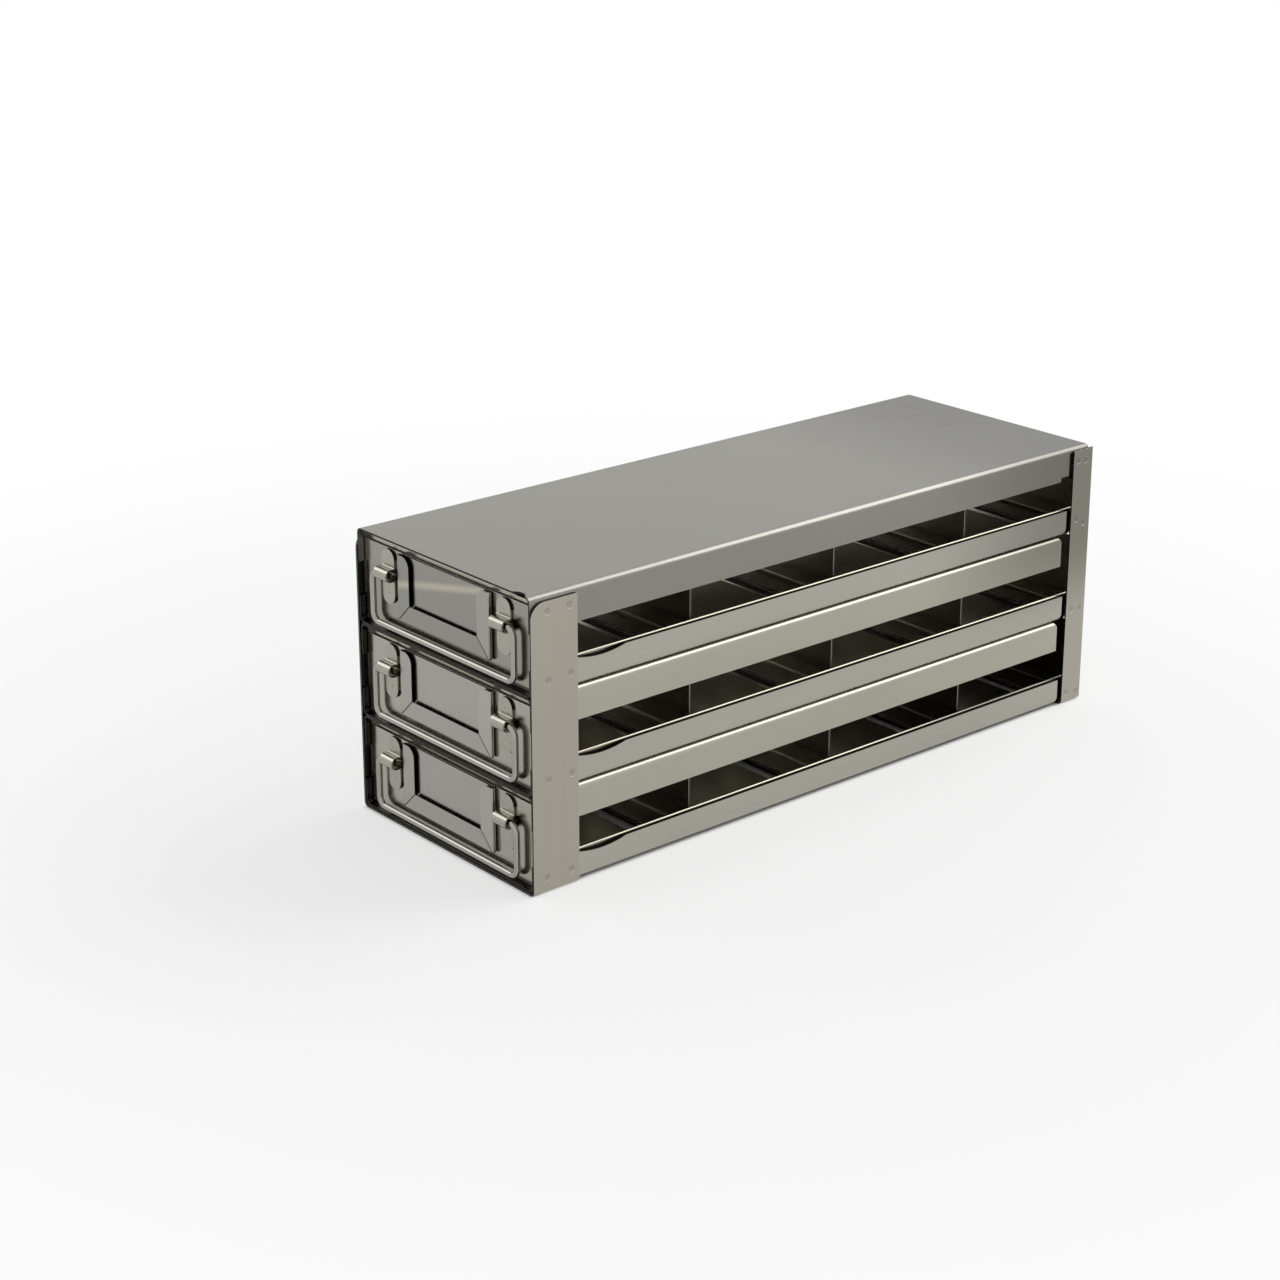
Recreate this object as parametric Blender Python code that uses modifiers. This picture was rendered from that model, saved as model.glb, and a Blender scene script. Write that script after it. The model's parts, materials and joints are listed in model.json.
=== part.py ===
"""Freezer storage rack: a frame of folded steel trays between two straps, and three drawers.

Units are metres. +Z is up, the drawers open towards -Y, and the rack stands on its two
straps at z = 0 with the origin under the middle of the whole object.
"""
import math

import bmesh
import bpy
from mathutils import Matrix, Vector

# The frame
LEVEL_NAMES = ("bottom", "middle", "top")
RACK_WIDTH = 0.140
LEVEL_PITCH = 0.0495
FRAME_SHEET = 0.0010
FRAME_BEND = 0.0012          # inside radius of every fold in the frame
SEAT = 0.0003                # air between two pieces that rest on each other
FRONT_STRAP = 0.0275
REAR_STRAP = 0.0150
STRAP_CORNER = 0.0080
EDGE_SETBACK = 0.0004        # trays and top plate behind the straps' outer edges
TRAY_FLANGE = 0.0140
SCALLOP_LENGTH = 0.0300
SCALLOP_DEPTH = 0.0020
END_RELIEF = 0.0025          # slit between a flange's end and the tab under the rear strap
FLANGE_CORNER = 0.0045
CHANNEL_FLANGE = 0.0170
CHANNEL_SETBACK = 0.0025
CHANNEL_END_GAP = 0.0055     # channel's rear end to the rear strap
CHANNEL_CORNER = 0.0040
LID_FLANGE = 0.0178
LID_STEP_LENGTH = 0.0061
LID_STEP_HEIGHT = 0.0024
LID_NOTCH_LENGTH = 0.0098
LID_NOTCH_DEPTH = 0.0026

# The drawers
DRAWER_SHEET = 0.0009
DRAWER_BEND = 0.0009         # inside radius of the pan's folds
SIDE_CLEARANCE = 0.0015
REAR_CLEARANCE = 0.0004
WALL_RISE = 0.0006           # pan wall above the tray's flange
PANEL_RECESS = 0.0025        # front panel behind the front strap's edge
PANEL_SIDE_CLEARANCE = 0.0009
PANEL_TOP_CLEARANCE = 0.0012
PANEL_CORNER = 0.0030
PANEL_HEM = 0.0028           # height of the panel's folded-over top edge
WALL_HEM = 0.0040            # depth of the pan's folded-in wall edges
HEM_GAP = 0.0003             # air inside a hem
DIVIDER_COUNT = 3
FRONT_COMPARTMENT = 0.0976
MIDDLE_COMPARTMENT = 0.0958
REAR_COMPARTMENT = 0.0896
DIVIDER_DROP = 0.0023        # divider's top below the front panel's top
FOOT_LENGTH = 0.0155
FOOT_BEND = 0.0016
RETURN_DEPTH = 0.0027        # divider's narrow side flanges, turned to the rear
RETURN_BEND = 0.0008
RETURN_START = 0.0060        # height at which they begin
SLOT_WIDTH = 0.0085
SLOT_MARGIN = 0.0162         # slot's end to the pan's outer side

# The wire handles, their brackets and the label holders
ROD_DIAMETER = 0.0032
ROD_BEND = 0.0045
ROD_STANDOFF = 0.0004
TUNNEL_CLEARANCE = 0.0008
BRACKET_SHEET = 0.0009
BRACKET_WIDTH = 0.0127
BRACKET_ABOVE = 0.0130
BRACKET_BELOW = 0.0158
BRACKET_CORNER = 0.0050
BRACKET_FLARE = 0.0011
LEG_GAP = 0.0018             # bracket's side to the handle's leg
HANDLE_MARGIN = 0.0088       # handle's leg to the panel's side
AXIS_DROP = 0.0161           # hinge axis below the panel's top
BAR_HEIGHT = 0.0031          # handle's bar above the pan's underside
BRACKET_GAP = 0.0033         # bracket to label holder
LABEL_BOTTOM = 0.0080
LABEL_SHEET = 0.0005
LABEL_STRIP = 0.0095
LABEL_STRIP_CORNER = 0.0055
LABEL_BEND = 0.0003
CARD_POCKET = 0.0023
MITRE_GAP = 0.0003

BEND_STEPS = 4
ARC_STEPS = 6
BOW_STEPS = 10
OVERCUT = 0.0020             # how far a cutter reaches past what it cuts
SHARP_ANGLE = 30

# Frame sizes that follow from the ones above
FRAME_FOLD = FRAME_BEND + FRAME_SHEET
LEVELS = len(LEVEL_NAMES)
HALF_FRAME = RACK_WIDTH / 2 - FRAME_SHEET - SEAT
TRAY_BASES = [FRAME_SHEET + SEAT + LEVEL_PITCH * level for level in range(LEVELS)]
RACK_TOP = FRAME_SHEET + SEAT + LEVEL_PITCH * LEVELS
STRAP_TOP = RACK_TOP - FRAME_FOLD
LEVEL_CLEAR = LEVEL_PITCH - 2 * FRAME_SHEET - SEAT

# Drawer sizes, measured from the rack's front and from the pan's underside
PANEL_HEIGHT = LEVEL_CLEAR - SEAT - PANEL_TOP_CLEARANCE
PANEL_HALF = HALF_FRAME - FRAME_SHEET - PANEL_SIDE_CLEARANCE
PAN_HALF = HALF_FRAME - FRAME_SHEET - SIDE_CLEARANCE
PAN_FRONT = PANEL_RECESS + DRAWER_SHEET + SEAT
WALL_HEIGHT = TRAY_FLANGE - FRAME_SHEET - SEAT + WALL_RISE
FIRST_DIVIDER = PAN_FRONT + DRAWER_SHEET + FRONT_COMPARTMENT
DIVIDER_PITCH = DRAWER_SHEET + MIDDLE_COMPARTMENT
DIVIDER_FACES = [FIRST_DIVIDER + DIVIDER_PITCH * i for i in range(DIVIDER_COUNT)]
REAR_WALL_FACE = DIVIDER_FACES[-1] + DRAWER_SHEET + REAR_COMPARTMENT
PAN_REAR = REAR_WALL_FACE + 2 * DRAWER_SHEET + SEAT
RACK_LENGTH = PAN_REAR + REAR_CLEARANCE + FRAME_SHEET + EDGE_SETBACK
TRAY_REAR = RACK_LENGTH - EDGE_SETBACK
STRAP_REAR_FRONT = RACK_LENGTH - REAR_STRAP
FLANGE_END = STRAP_REAR_FRONT - END_RELIEF
CHANNEL_END = STRAP_REAR_FRONT - CHANNEL_END_GAP
SLOT_FRONTS = [face - FOOT_LENGTH - SLOT_WIDTH for face in DIVIDER_FACES + [REAR_WALL_FACE]]
SLOT_HALF = PAN_HALF - SLOT_MARGIN
HEM_RADIUS = (HEM_GAP + DRAWER_SHEET) / 2
UPRIGHT_HALF = PAN_HALF - 2 * DRAWER_SHEET - HEM_GAP - SEAT
UPRIGHT_TOP = PANEL_HEIGHT - DIVIDER_DROP

ROD_RADIUS = ROD_DIAMETER / 2
TUNNEL_RADIUS = ROD_RADIUS + TUNNEL_CLEARANCE + BRACKET_SHEET / 2
AXIS_Y = PANEL_RECESS - ROD_STANDOFF - ROD_RADIUS
AXIS_HEIGHT = PANEL_HEIGHT - AXIS_DROP
LEG_X = PANEL_HALF - HANDLE_MARGIN - ROD_RADIUS
BRACKET_X = LEG_X - ROD_RADIUS - LEG_GAP - BRACKET_WIDTH / 2
LABEL_HALF = BRACKET_X - BRACKET_WIDTH / 2 - BRACKET_GAP
LABEL_TOP = PANEL_HEIGHT - PANEL_HEM - SEAT

# The brackets stand in front of the straps, so the rack's front lies behind the object's
TUNNEL_FRONT = AXIS_Y - TUNNEL_RADIUS - BRACKET_SHEET / 2
FRONT_Y = -(RACK_LENGTH + TUNNEL_FRONT) / 2

# Turns that stand an outline's u and v up: thickness along X, along Y, or along Z
ACROSS = Matrix(((0, 0, 1, 0), (1, 0, 0, 0), (0, 1, 0, 0), (0, 0, 0, 1)))
ALONG = Matrix(((1, 0, 0, 0), (0, 0, -1, 0), (0, 1, 0, 0), (0, 0, 0, 1)))
FLAT = Matrix.Identity(4)


def clear_scene():
    for thing in list(bpy.data.objects):
        bpy.data.objects.remove(thing, do_unlink=True)


def new_collection(name):
    collection = bpy.data.collections.new(name)
    bpy.context.scene.collection.children.link(collection)
    return collection


def steel(name, colour, roughness):
    """Stainless steel: one metallic surface of its own colour and polish for each piece."""
    material = bpy.data.materials.new(name)
    material.use_nodes = True
    shader = material.node_tree.nodes["Principled BSDF"]
    shader.inputs["Base Color"].default_value = (*colour, 1.0)
    shader.inputs["Metallic"].default_value = 1.0
    shader.inputs["Roughness"].default_value = roughness
    material.diffuse_color = (*colour, 1.0)
    return material


def add_object(name, data, collection):
    thing = bpy.data.objects.new(name, data)
    collection.objects.link(thing)
    return thing


def arc(centre, radius, start, end, steps=ARC_STEPS):
    """Points on an arc, from one angle to another in degrees."""
    angles = [math.radians(start + (end - start) * i / steps) for i in range(steps + 1)]
    return [(centre[0] + radius * math.cos(a), centre[1] + radius * math.sin(a)) for a in angles]


def filleted(corners, radii, closed=False, steps=BEND_STEPS):
    """A path through the corners, with an arc of the given radius at each one."""
    points = []
    count = len(corners)
    for i, (corner, radius) in enumerate(zip(corners, radii)):
        here = Vector(corner)
        if radius == 0 or (not closed and i in (0, count - 1)):
            points.append(tuple(here))
            continue
        back = (Vector(corners[i - 1]) - here).normalized()
        ahead = (Vector(corners[(i + 1) % count]) - here).normalized()
        opening = back.angle(ahead)
        centre = here + (back + ahead).normalized() * radius / math.sin(opening / 2)
        first = here + back * radius / math.tan(opening / 2) - centre
        last = here + ahead * radius / math.tan(opening / 2) - centre
        turn = -first.angle_signed(last)
        for step in range(steps + 1):
            points.append(tuple(centre + Matrix.Rotation(turn * step / steps, 2) @ first))
    return points


def bow(middle, edge, length, depth, outward):
    """A shallow arc cut into a straight edge, closed off beyond it (outward is 1 or -1)."""
    half = length / 2
    radius = (half ** 2 + depth ** 2) / (2 * depth)
    spread = math.degrees(math.asin(half / radius))
    centre = (middle, edge + outward * (radius - depth))
    facing = -90 * outward
    past = edge + outward * OVERCUT
    return arc(centre, radius, facing - spread, facing + spread, BOW_STEPS) + [
        (middle + outward * half, past), (middle - outward * half, past)]


def outline_mesh(name, path, depth, closed):
    """A flat curve, extruded by its depth: a solid plate if closed, else an open ribbon."""
    curve = bpy.data.curves.new(name, "CURVE")
    curve.dimensions = "2D"
    curve.fill_mode = "BOTH" if closed else "NONE"
    curve.extrude = depth / 2
    spline = curve.splines.new("POLY")
    spline.points.add(len(path) - 1)
    for point, (u, v) in zip(spline.points, path):
        point.co = (u, v, 0.0, 1.0)
    spline.use_cyclic_u = closed
    guide = add_object(name, curve, bpy.context.scene.collection)
    bpy.context.view_layer.update()
    graph = bpy.context.evaluated_depsgraph_get()
    mesh = bpy.data.meshes.new_from_object(guide.evaluated_get(graph))
    bpy.data.objects.remove(guide, do_unlink=True)
    bm = bmesh.new()
    bm.from_mesh(mesh)
    bmesh.ops.remove_doubles(bm, verts=bm.verts, dist=0.000001)
    if closed:
        bmesh.ops.recalc_face_normals(bm, faces=bm.faces)
    bm.to_mesh(mesh)
    bm.free()
    return mesh


def prism(path, turn, low, high):
    """A solid of the given outline, from low to high along its thickness."""
    mesh = outline_mesh("outline", path, high - low, True)
    mesh.transform(turn)
    middle = turn.to_3x3() @ Vector((0.0, 0.0, 1.0))
    axis = Vector([abs(value) for value in middle])
    mesh.transform(Matrix.Translation(axis * (low + high) / 2))
    return mesh


def mirrored_prisms(path, inner, outer):
    """The same outline on both sides of the rack, between two distances from its middle."""
    return [prism(path, ACROSS, inner, outer), prism(path, ACROSS, -outer, -inner)]


def cutter(name, meshes):
    """One hidden tool made of several separate solids."""
    bm = bmesh.new()
    for mesh in meshes:
        bm.from_mesh(mesh)
    joined = bpy.data.meshes.new(name)
    bm.to_mesh(joined)
    bm.free()
    tool = add_object(name, joined, cutters)
    tool.hide_render = True
    tool.display_type = "WIRE"
    return tool


def cut(piece, tool, operation="DIFFERENCE"):
    modifier = piece.modifiers.new(tool.name, "BOOLEAN")
    modifier.operation = operation
    modifier.solver = "EXACT"
    modifier.object = tool


def thicken(piece, thickness):
    """Give an open middle surface its sheet thickness, half to each side."""
    modifier = piece.modifiers.new("sheet", "SOLIDIFY")
    modifier.thickness = thickness
    modifier.offset = 0.0
    modifier.use_even_offset = True


def bent_sheet(name, path, turn, width, thickness):
    """A sheet bent along one path and equally wide everywhere."""
    mesh = outline_mesh(name, path, width, False)
    mesh.transform(turn)
    piece = add_object(name, mesh, parts)
    thicken(piece, thickness)
    return piece


def folded_box(name, low, high, open_sides, fold, thickness):
    """A box folded from sheet; low and high are its outer corners, fold its outer radius.

    open_sides lists the missing walls as (axis, side), such as (2, 1) for the top.
    """
    bm = bmesh.new()
    bmesh.ops.create_cube(bm, size=1.0)
    for face in list(bm.faces):
        axis = max(range(3), key=lambda i: abs(face.normal[i]))
        side = 1 if face.normal[axis] > 0 else -1
        if (axis, side) in open_sides:
            bmesh.ops.delete(bm, geom=[face], context="FACES")
    for vertex in bm.verts:
        for axis in range(3):
            side = 1 if vertex.co[axis] > 0 else -1
            inset = 0.0 if (axis, side) in open_sides else thickness / 2
            limit = high[axis] if side > 0 else low[axis]
            vertex.co[axis] = limit - side * inset
    folds = [edge for edge in bm.edges if len(edge.link_faces) == 2]
    bmesh.ops.bevel(bm, geom=folds, offset=fold - thickness / 2, segments=BEND_STEPS,
                    profile=0.5, affect="EDGES", clamp_overlap=True)
    mesh = bpy.data.meshes.new(name)
    bm.to_mesh(mesh)
    bm.free()
    piece = add_object(name, mesh, parts)
    thicken(piece, thickness)
    return piece


def fold_on(piece, low, high, path, u_axis, v_axis):
    """Fold further sheet onto the free edges that lie between two corners of space.

    The path holds the fold's (u, v) points, and the two axes say where u and v point.
    """
    bm = bmesh.new()
    bm.from_mesh(piece.data)
    rim = [edge for edge in bm.edges if edge.is_boundary
           and all(low[i] - SEAT < vertex.co[i] < high[i] + SEAT
                   for vertex in edge.verts for i in range(3))]
    for (u, v), (next_u, next_v) in zip(path, path[1:]):
        grown = bmesh.ops.extrude_edge_only(bm, edges=rim)["geom"]
        moved = [item for item in grown if isinstance(item, bmesh.types.BMVert)]
        step = Vector(u_axis) * (next_u - u) + Vector(v_axis) * (next_v - v)
        bmesh.ops.translate(bm, verts=moved, vec=step)
        rim = [item for item in grown if isinstance(item, bmesh.types.BMEdge)
               and all(vertex in moved for vertex in item.verts)]
    bmesh.ops.recalc_face_normals(bm, faces=bm.faces)
    bm.to_mesh(piece.data)
    bm.free()


def finished(piece, material):
    """Fix the modifiers' result as the piece's own mesh, so that copies can share it."""
    bpy.context.view_layer.update()
    graph = bpy.context.evaluated_depsgraph_get()
    mesh = bpy.data.meshes.new_from_object(piece.evaluated_get(graph))
    mesh.name = piece.name
    piece.modifiers.clear()
    piece.data = mesh
    mesh.materials.clear()
    mesh.materials.append(material)
    mesh.shade_smooth()
    mesh.set_sharp_from_angle(angle=math.radians(SHARP_ANGLE))
    return piece


def floor_slots():
    """Round-ended slots across a floor, one in front of each upright wall."""
    radius = SLOT_WIDTH / 2
    reach = SLOT_HALF - radius
    slots = []
    for front in SLOT_FRONTS:
        middle = front + radius
        outline = arc((reach, middle), radius, -90, 90) + arc((-reach, middle), radius, 90, 270)
        slots.append(prism(outline, FLAT, -OVERCUT, OVERCUT))
    return slots


def make_strap(name, width, corner):
    """One band: up the right side, under the trays and up the left side."""
    half = (RACK_WIDTH - FRAME_SHEET) / 2
    low = FRAME_SHEET / 2
    path = filleted([(-half, STRAP_TOP), (-half, low), (half, low), (half, STRAP_TOP)],
                    [0, FRAME_BEND + low, FRAME_BEND + low, 0])
    strap = bent_sheet(name, path, ALONG, width, FRAME_SHEET)
    strap.data.transform(Matrix.Translation((0, width / 2, 0)))
    if corner:
        past = STRAP_TOP + OVERCUT
        outline = arc((corner, STRAP_TOP - corner), corner, 180, 90) + [
            (corner, past), (-OVERCUT, past), (-OVERCUT, STRAP_TOP - corner)]
        cut(strap, cutter(name + "_corner", [prism(outline, ACROSS, -RACK_WIDTH, RACK_WIDTH)]))
    return strap


def side_relief(base, top, corner):
    """The slit that parts a tray's flange from its rear tab, with the flange's round corner."""
    return arc((FLANGE_END - corner, base + corner), corner, 0, -90) + [
        (FLANGE_END - corner, base - OVERCUT), (STRAP_REAR_FRONT, base - OVERCUT),
        (STRAP_REAR_FRONT, top + OVERCUT), (FLANGE_END, top + OVERCUT)]


def make_tray(name):
    """A tray's web with low side flanges, a rear wall and tabs under the rear strap."""
    tray = folded_box(name, (-HALF_FRAME, EDGE_SETBACK, 0), (HALF_FRAME, TRAY_REAR, TRAY_FLANGE),
                      [(1, -1), (2, 1)], FRAME_FOLD, FRAME_SHEET)
    inner = HALF_FRAME - FRAME_FOLD - SEAT
    outer = HALF_FRAME + OVERCUT
    cut(tray, cutter(name + "_reliefs", mirrored_prisms(side_relief(0, TRAY_FLANGE, FLANGE_CORNER),
                                                        inner, outer)))
    scallop = bow(FRONT_STRAP + SEAT + SCALLOP_LENGTH / 2, TRAY_FLANGE, SCALLOP_LENGTH, SCALLOP_DEPTH, 1)
    cut(tray, cutter(name + "_scallops", mirrored_prisms(scallop, inner, outer)))
    cut(tray, cutter(name + "_slots", floor_slots()))
    return tray


def make_channel(name):
    """The upside-down channel under a tray: it roofs the drawer below."""
    channel = folded_box(name, (-HALF_FRAME, CHANNEL_SETBACK, -CHANNEL_FLANGE),
                         (HALF_FRAME, CHANNEL_END, 0), [(1, -1), (1, 1), (2, -1)],
                         FRAME_FOLD, FRAME_SHEET)
    inner = HALF_FRAME - FRAME_FOLD - SEAT
    outer = HALF_FRAME + OVERCUT
    past = CHANNEL_END + OVERCUT
    corner = arc((CHANNEL_END - CHANNEL_CORNER, -CHANNEL_CORNER), CHANNEL_CORNER, 90, 0) + [
        (past, -CHANNEL_CORNER), (past, OVERCUT), (CHANNEL_END - CHANNEL_CORNER, OVERCUT)]
    cut(channel, cutter(name + "_corners", mirrored_prisms(corner, inner, outer)))
    cut(channel, cutter(name + "_slots", floor_slots()))
    return channel


def make_top_plate():
    """The lid: its flanges hang down at the sides and the rear, and a step ends each side."""
    base = RACK_TOP - LID_FLANGE
    lid = folded_box("top_plate", (-HALF_FRAME, EDGE_SETBACK, base), (HALF_FRAME, TRAY_REAR, RACK_TOP),
                     [(1, -1), (2, -1)], FRAME_FOLD, FRAME_SHEET)
    inner = HALF_FRAME - FRAME_FOLD - SEAT
    outer = HALF_FRAME + OVERCUT
    step = FLANGE_END - LID_STEP_LENGTH
    relief = [(step, base - OVERCUT), (STRAP_REAR_FRONT, base - OVERCUT), (STRAP_REAR_FRONT, STRAP_TOP),
              (FLANGE_END, STRAP_TOP), (FLANGE_END, base + LID_STEP_HEIGHT),
              (step, base + LID_STEP_HEIGHT)]
    cut(lid, cutter("top_plate_reliefs", mirrored_prisms(relief, inner, outer)))
    notch = bow(HALF_FRAME - FRAME_FOLD - LID_NOTCH_LENGTH / 2, EDGE_SETBACK, LID_NOTCH_LENGTH,
                LID_NOTCH_DEPTH, -1)
    cut(lid, cutter("top_plate_notch", [prism(notch, FLAT, STRAP_TOP, RACK_TOP + OVERCUT)]))
    return lid


def make_pan():
    """The drawer's pan: low walls with hemmed sides, plain tabs at the ends, open corners."""
    side = PAN_HALF - DRAWER_SHEET / 2
    rise = HEM_RADIUS + DRAWER_SHEET / 2
    crest = WALL_HEIGHT - rise
    pan = folded_box("drawer_pan", (-PAN_HALF, PAN_FRONT, 0), (PAN_HALF, PAN_REAR, crest),
                     [(2, 1)], DRAWER_BEND + DRAWER_SHEET, DRAWER_SHEET)
    hem = arc((HEM_RADIUS, 0), HEM_RADIUS, 180, 0) + [(2 * HEM_RADIUS, rise - WALL_HEM)]
    fold_on(pan, (side, PAN_FRONT, crest), (side, PAN_REAR, crest), hem, (-1, 0, 0), (0, 0, 1))
    fold_on(pan, (-side, PAN_FRONT, crest), (-side, PAN_REAR, crest), hem, (1, 0, 0), (0, 0, 1))
    for end in (PAN_FRONT + DRAWER_SHEET / 2, PAN_REAR - DRAWER_SHEET / 2):
        fold_on(pan, (-side, end, crest), (side, end, crest), [(0, 0), (0, rise)], (0, 1, 0), (0, 0, 1))
    notch = DRAWER_BEND + 2 * DRAWER_SHEET + HEM_GAP + SEAT
    corners = []
    for start in (PAN_FRONT - OVERCUT, PAN_REAR - notch):
        end = start + OVERCUT + notch
        square = [(start, -OVERCUT), (end, -OVERCUT), (end, WALL_HEIGHT + OVERCUT),
                  (start, WALL_HEIGHT + OVERCUT)]
        corners += mirrored_prisms(square, PAN_HALF - notch, PAN_HALF + OVERCUT)
    cut(pan, cutter("drawer_pan_corners", corners))
    cut(pan, cutter("drawer_pan_slots", floor_slots()))
    return pan


def upright_path():
    """A foot that points forwards, then the wall, seen from the drawer's side."""
    middle = DRAWER_SHEET / 2
    base = DRAWER_SHEET + SEAT + middle
    bend = filleted([(-FOOT_LENGTH, base), (middle, base), (middle, RETURN_START)],
                    [0, FOOT_BEND + middle, 0])
    return bend + [(middle, UPRIGHT_TOP)]


def make_rear_wall():
    """The drawer's rear wall, an upright sheet on its foot."""
    return bent_sheet("rear_wall", upright_path(), ACROSS, 2 * UPRIGHT_HALF, DRAWER_SHEET)


def make_divider():
    """A divider: like the rear wall, with a narrow flange turned back at each side."""
    radius = RETURN_BEND + DRAWER_SHEET / 2
    flat = UPRIGHT_HALF - DRAWER_SHEET / 2 - radius
    divider = bent_sheet("divider", upright_path(), ACROSS, 2 * flat, DRAWER_SHEET)
    flange = arc((0, radius), radius, -90, 0, BEND_STEPS) + [(radius, RETURN_DEPTH - DRAWER_SHEET / 2)]
    for side in (-1, 1):
        fold_on(divider, (side * flat, 0, RETURN_START), (side * flat, DRAWER_SHEET, UPRIGHT_TOP),
                flange, (side, 0, 0), (0, 1, 0))
    return divider


def make_front_panel():
    """The front: its top edge is hemmed to the front and its lower corners are round."""
    middle = PANEL_RECESS + DRAWER_SHEET / 2
    folded = middle - 2 * HEM_RADIUS
    top = PANEL_HEIGHT - DRAWER_SHEET / 2
    path = filleted([(middle, 0), (middle, top), (folded, top), (folded, PANEL_HEIGHT - PANEL_HEM)],
                    [0, HEM_RADIUS, HEM_RADIUS, 0])
    panel = bent_sheet("front_panel", path, ACROSS, 2 * PANEL_HALF, DRAWER_SHEET)
    past = PANEL_HEIGHT + OVERCUT
    outline = filleted([(-PANEL_HALF, 0), (PANEL_HALF, 0), (PANEL_HALF, past), (-PANEL_HALF, past)],
                       [PANEL_CORNER, PANEL_CORNER, 0, 0], closed=True, steps=ARC_STEPS)
    blank = prism(outline, ALONG, -OVERCUT, PANEL_RECESS + OVERCUT)
    cut(panel, cutter("front_panel_outline", [blank]), "INTERSECT")
    return panel


def make_label_holder():
    """A pocket folded from one sheet: its lips meet in mitres and its top is open."""
    rear = PANEL_RECESS - SEAT
    front = rear - CARD_POCKET - 2 * LABEL_SHEET
    holder = folded_box("label_holder", (-LABEL_HALF, front, LABEL_BOTTOM),
                        (LABEL_HALF, rear, LABEL_TOP), [(2, 1)],
                        LABEL_BEND + LABEL_SHEET, LABEL_SHEET)
    half = LABEL_HALF - LABEL_STRIP
    low = LABEL_BOTTOM + LABEL_STRIP
    round_low = LABEL_TOP - LABEL_STRIP_CORNER
    right = arc((half + LABEL_STRIP_CORNER, round_low), LABEL_STRIP_CORNER, 180, 90)
    right.append((half + LABEL_STRIP_CORNER, LABEL_TOP + OVERCUT))
    left = [(-u, v) for u, v in reversed(right)]
    window = [(-half, low), (half, low)] + right + left
    pocket_middle = front + LABEL_SHEET + CARD_POCKET / 2
    cut(holder, cutter("label_window", [prism(window, ALONG, front - OVERCUT, pocket_middle)]))
    across = MITRE_GAP / 2 / math.sqrt(2)
    reach = LABEL_STRIP + OVERCUT
    mitres = []
    for side in (-1, 1):
        slit = [(side * (half - OVERCUT - across), low + OVERCUT - across),
                (side * (half - OVERCUT + across), low + OVERCUT + across),
                (side * (half + reach + across), low - reach + across),
                (side * (half + reach - across), low - reach - across)]
        mitres.append(prism(slit, ALONG, front - OVERCUT, pocket_middle))
    cut(holder, cutter("label_mitres", mitres))
    return holder


def make_bracket():
    """A strap over the handle's end: two flat leaves and a half-round tunnel between them."""
    leaf = PANEL_RECESS - SEAT - BRACKET_SHEET / 2
    crown = AXIS_Y - TUNNEL_RADIUS
    low = AXIS_HEIGHT - TUNNEL_RADIUS
    high = AXIS_HEIGHT + TUNNEL_RADIUS
    bottom = AXIS_HEIGHT - BRACKET_BELOW
    top = AXIS_HEIGHT + BRACKET_ABOVE
    path = filleted([(leaf, bottom), (leaf, low), (crown, low), (crown, high), (leaf, high), (leaf, top)],
                    [0, BRACKET_FLARE, TUNNEL_RADIUS, TUNNEL_RADIUS, BRACKET_FLARE, 0], steps=ARC_STEPS)
    bracket = bent_sheet("bracket", path, ACROSS, BRACKET_WIDTH, BRACKET_SHEET)
    half = BRACKET_WIDTH / 2
    outline = filleted([(-half, bottom), (half, bottom), (half, top), (-half, top)],
                       [BRACKET_CORNER] * 4, closed=True, steps=ARC_STEPS)
    blank = cutter("bracket_outline", [prism(outline, ALONG, TUNNEL_FRONT - OVERCUT,
                                             PANEL_RECESS + OVERCUT)])
    cut(bracket, blank, "INTERSECT")
    return bracket


def make_handle():
    """The wire handle, hanging from its hinge axis at the object's own origin."""
    leg = AXIS_HEIGHT - BAR_HEIGHT
    end = BRACKET_X - BRACKET_WIDTH / 2 + BRACKET_SHEET
    corners = [(-end, 0), (-LEG_X, 0), (-LEG_X, -leg), (LEG_X, -leg), (LEG_X, 0), (end, 0)]
    path = filleted(corners, [0, ROD_BEND, ROD_BEND, ROD_BEND, ROD_BEND, 0], steps=5)
    curve = bpy.data.curves.new("wire_handle", "CURVE")
    curve.dimensions = "3D"
    curve.bevel_depth = ROD_RADIUS
    curve.bevel_resolution = 2
    curve.use_fill_caps = True
    spline = curve.splines.new("POLY")
    spline.points.add(len(path) - 1)
    for point, (x, z) in zip(spline.points, path):
        point.co = (x, 0.0, z, 1.0)
    return curve


def place(name, data, parent, location):
    """One piece of a drawer, placed in the drawer's own frame."""
    piece = add_object(name, data, parts)
    piece.parent = parent
    piece.location = location
    return piece


clear_scene()
parts = new_collection("freezer_storage_rack")
cutters = new_collection("cutters")

top_steel = steel("top_plate_steel", (0.33, 0.33, 0.33), 0.38)
strap_steel = steel("strap_steel", (0.36, 0.34, 0.31), 0.34)
tray_steel = steel("tray_steel", (0.37, 0.36, 0.33), 0.32)
channel_steel = steel("channel_steel", (0.35, 0.34, 0.31), 0.32)
pan_steel = steel("pan_steel", (0.30, 0.29, 0.25), 0.28)
panel_steel = steel("front_panel_steel", (0.36, 0.35, 0.33), 0.30)
label_steel = steel("label_holder_steel", (0.37, 0.36, 0.34), 0.28)
bracket_steel = steel("bracket_steel", (0.40, 0.39, 0.36), 0.25)
divider_steel = steel("divider_steel", (0.28, 0.27, 0.24), 0.28)
wire_steel = steel("wire_steel", (0.45, 0.44, 0.42), 0.18)

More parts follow.
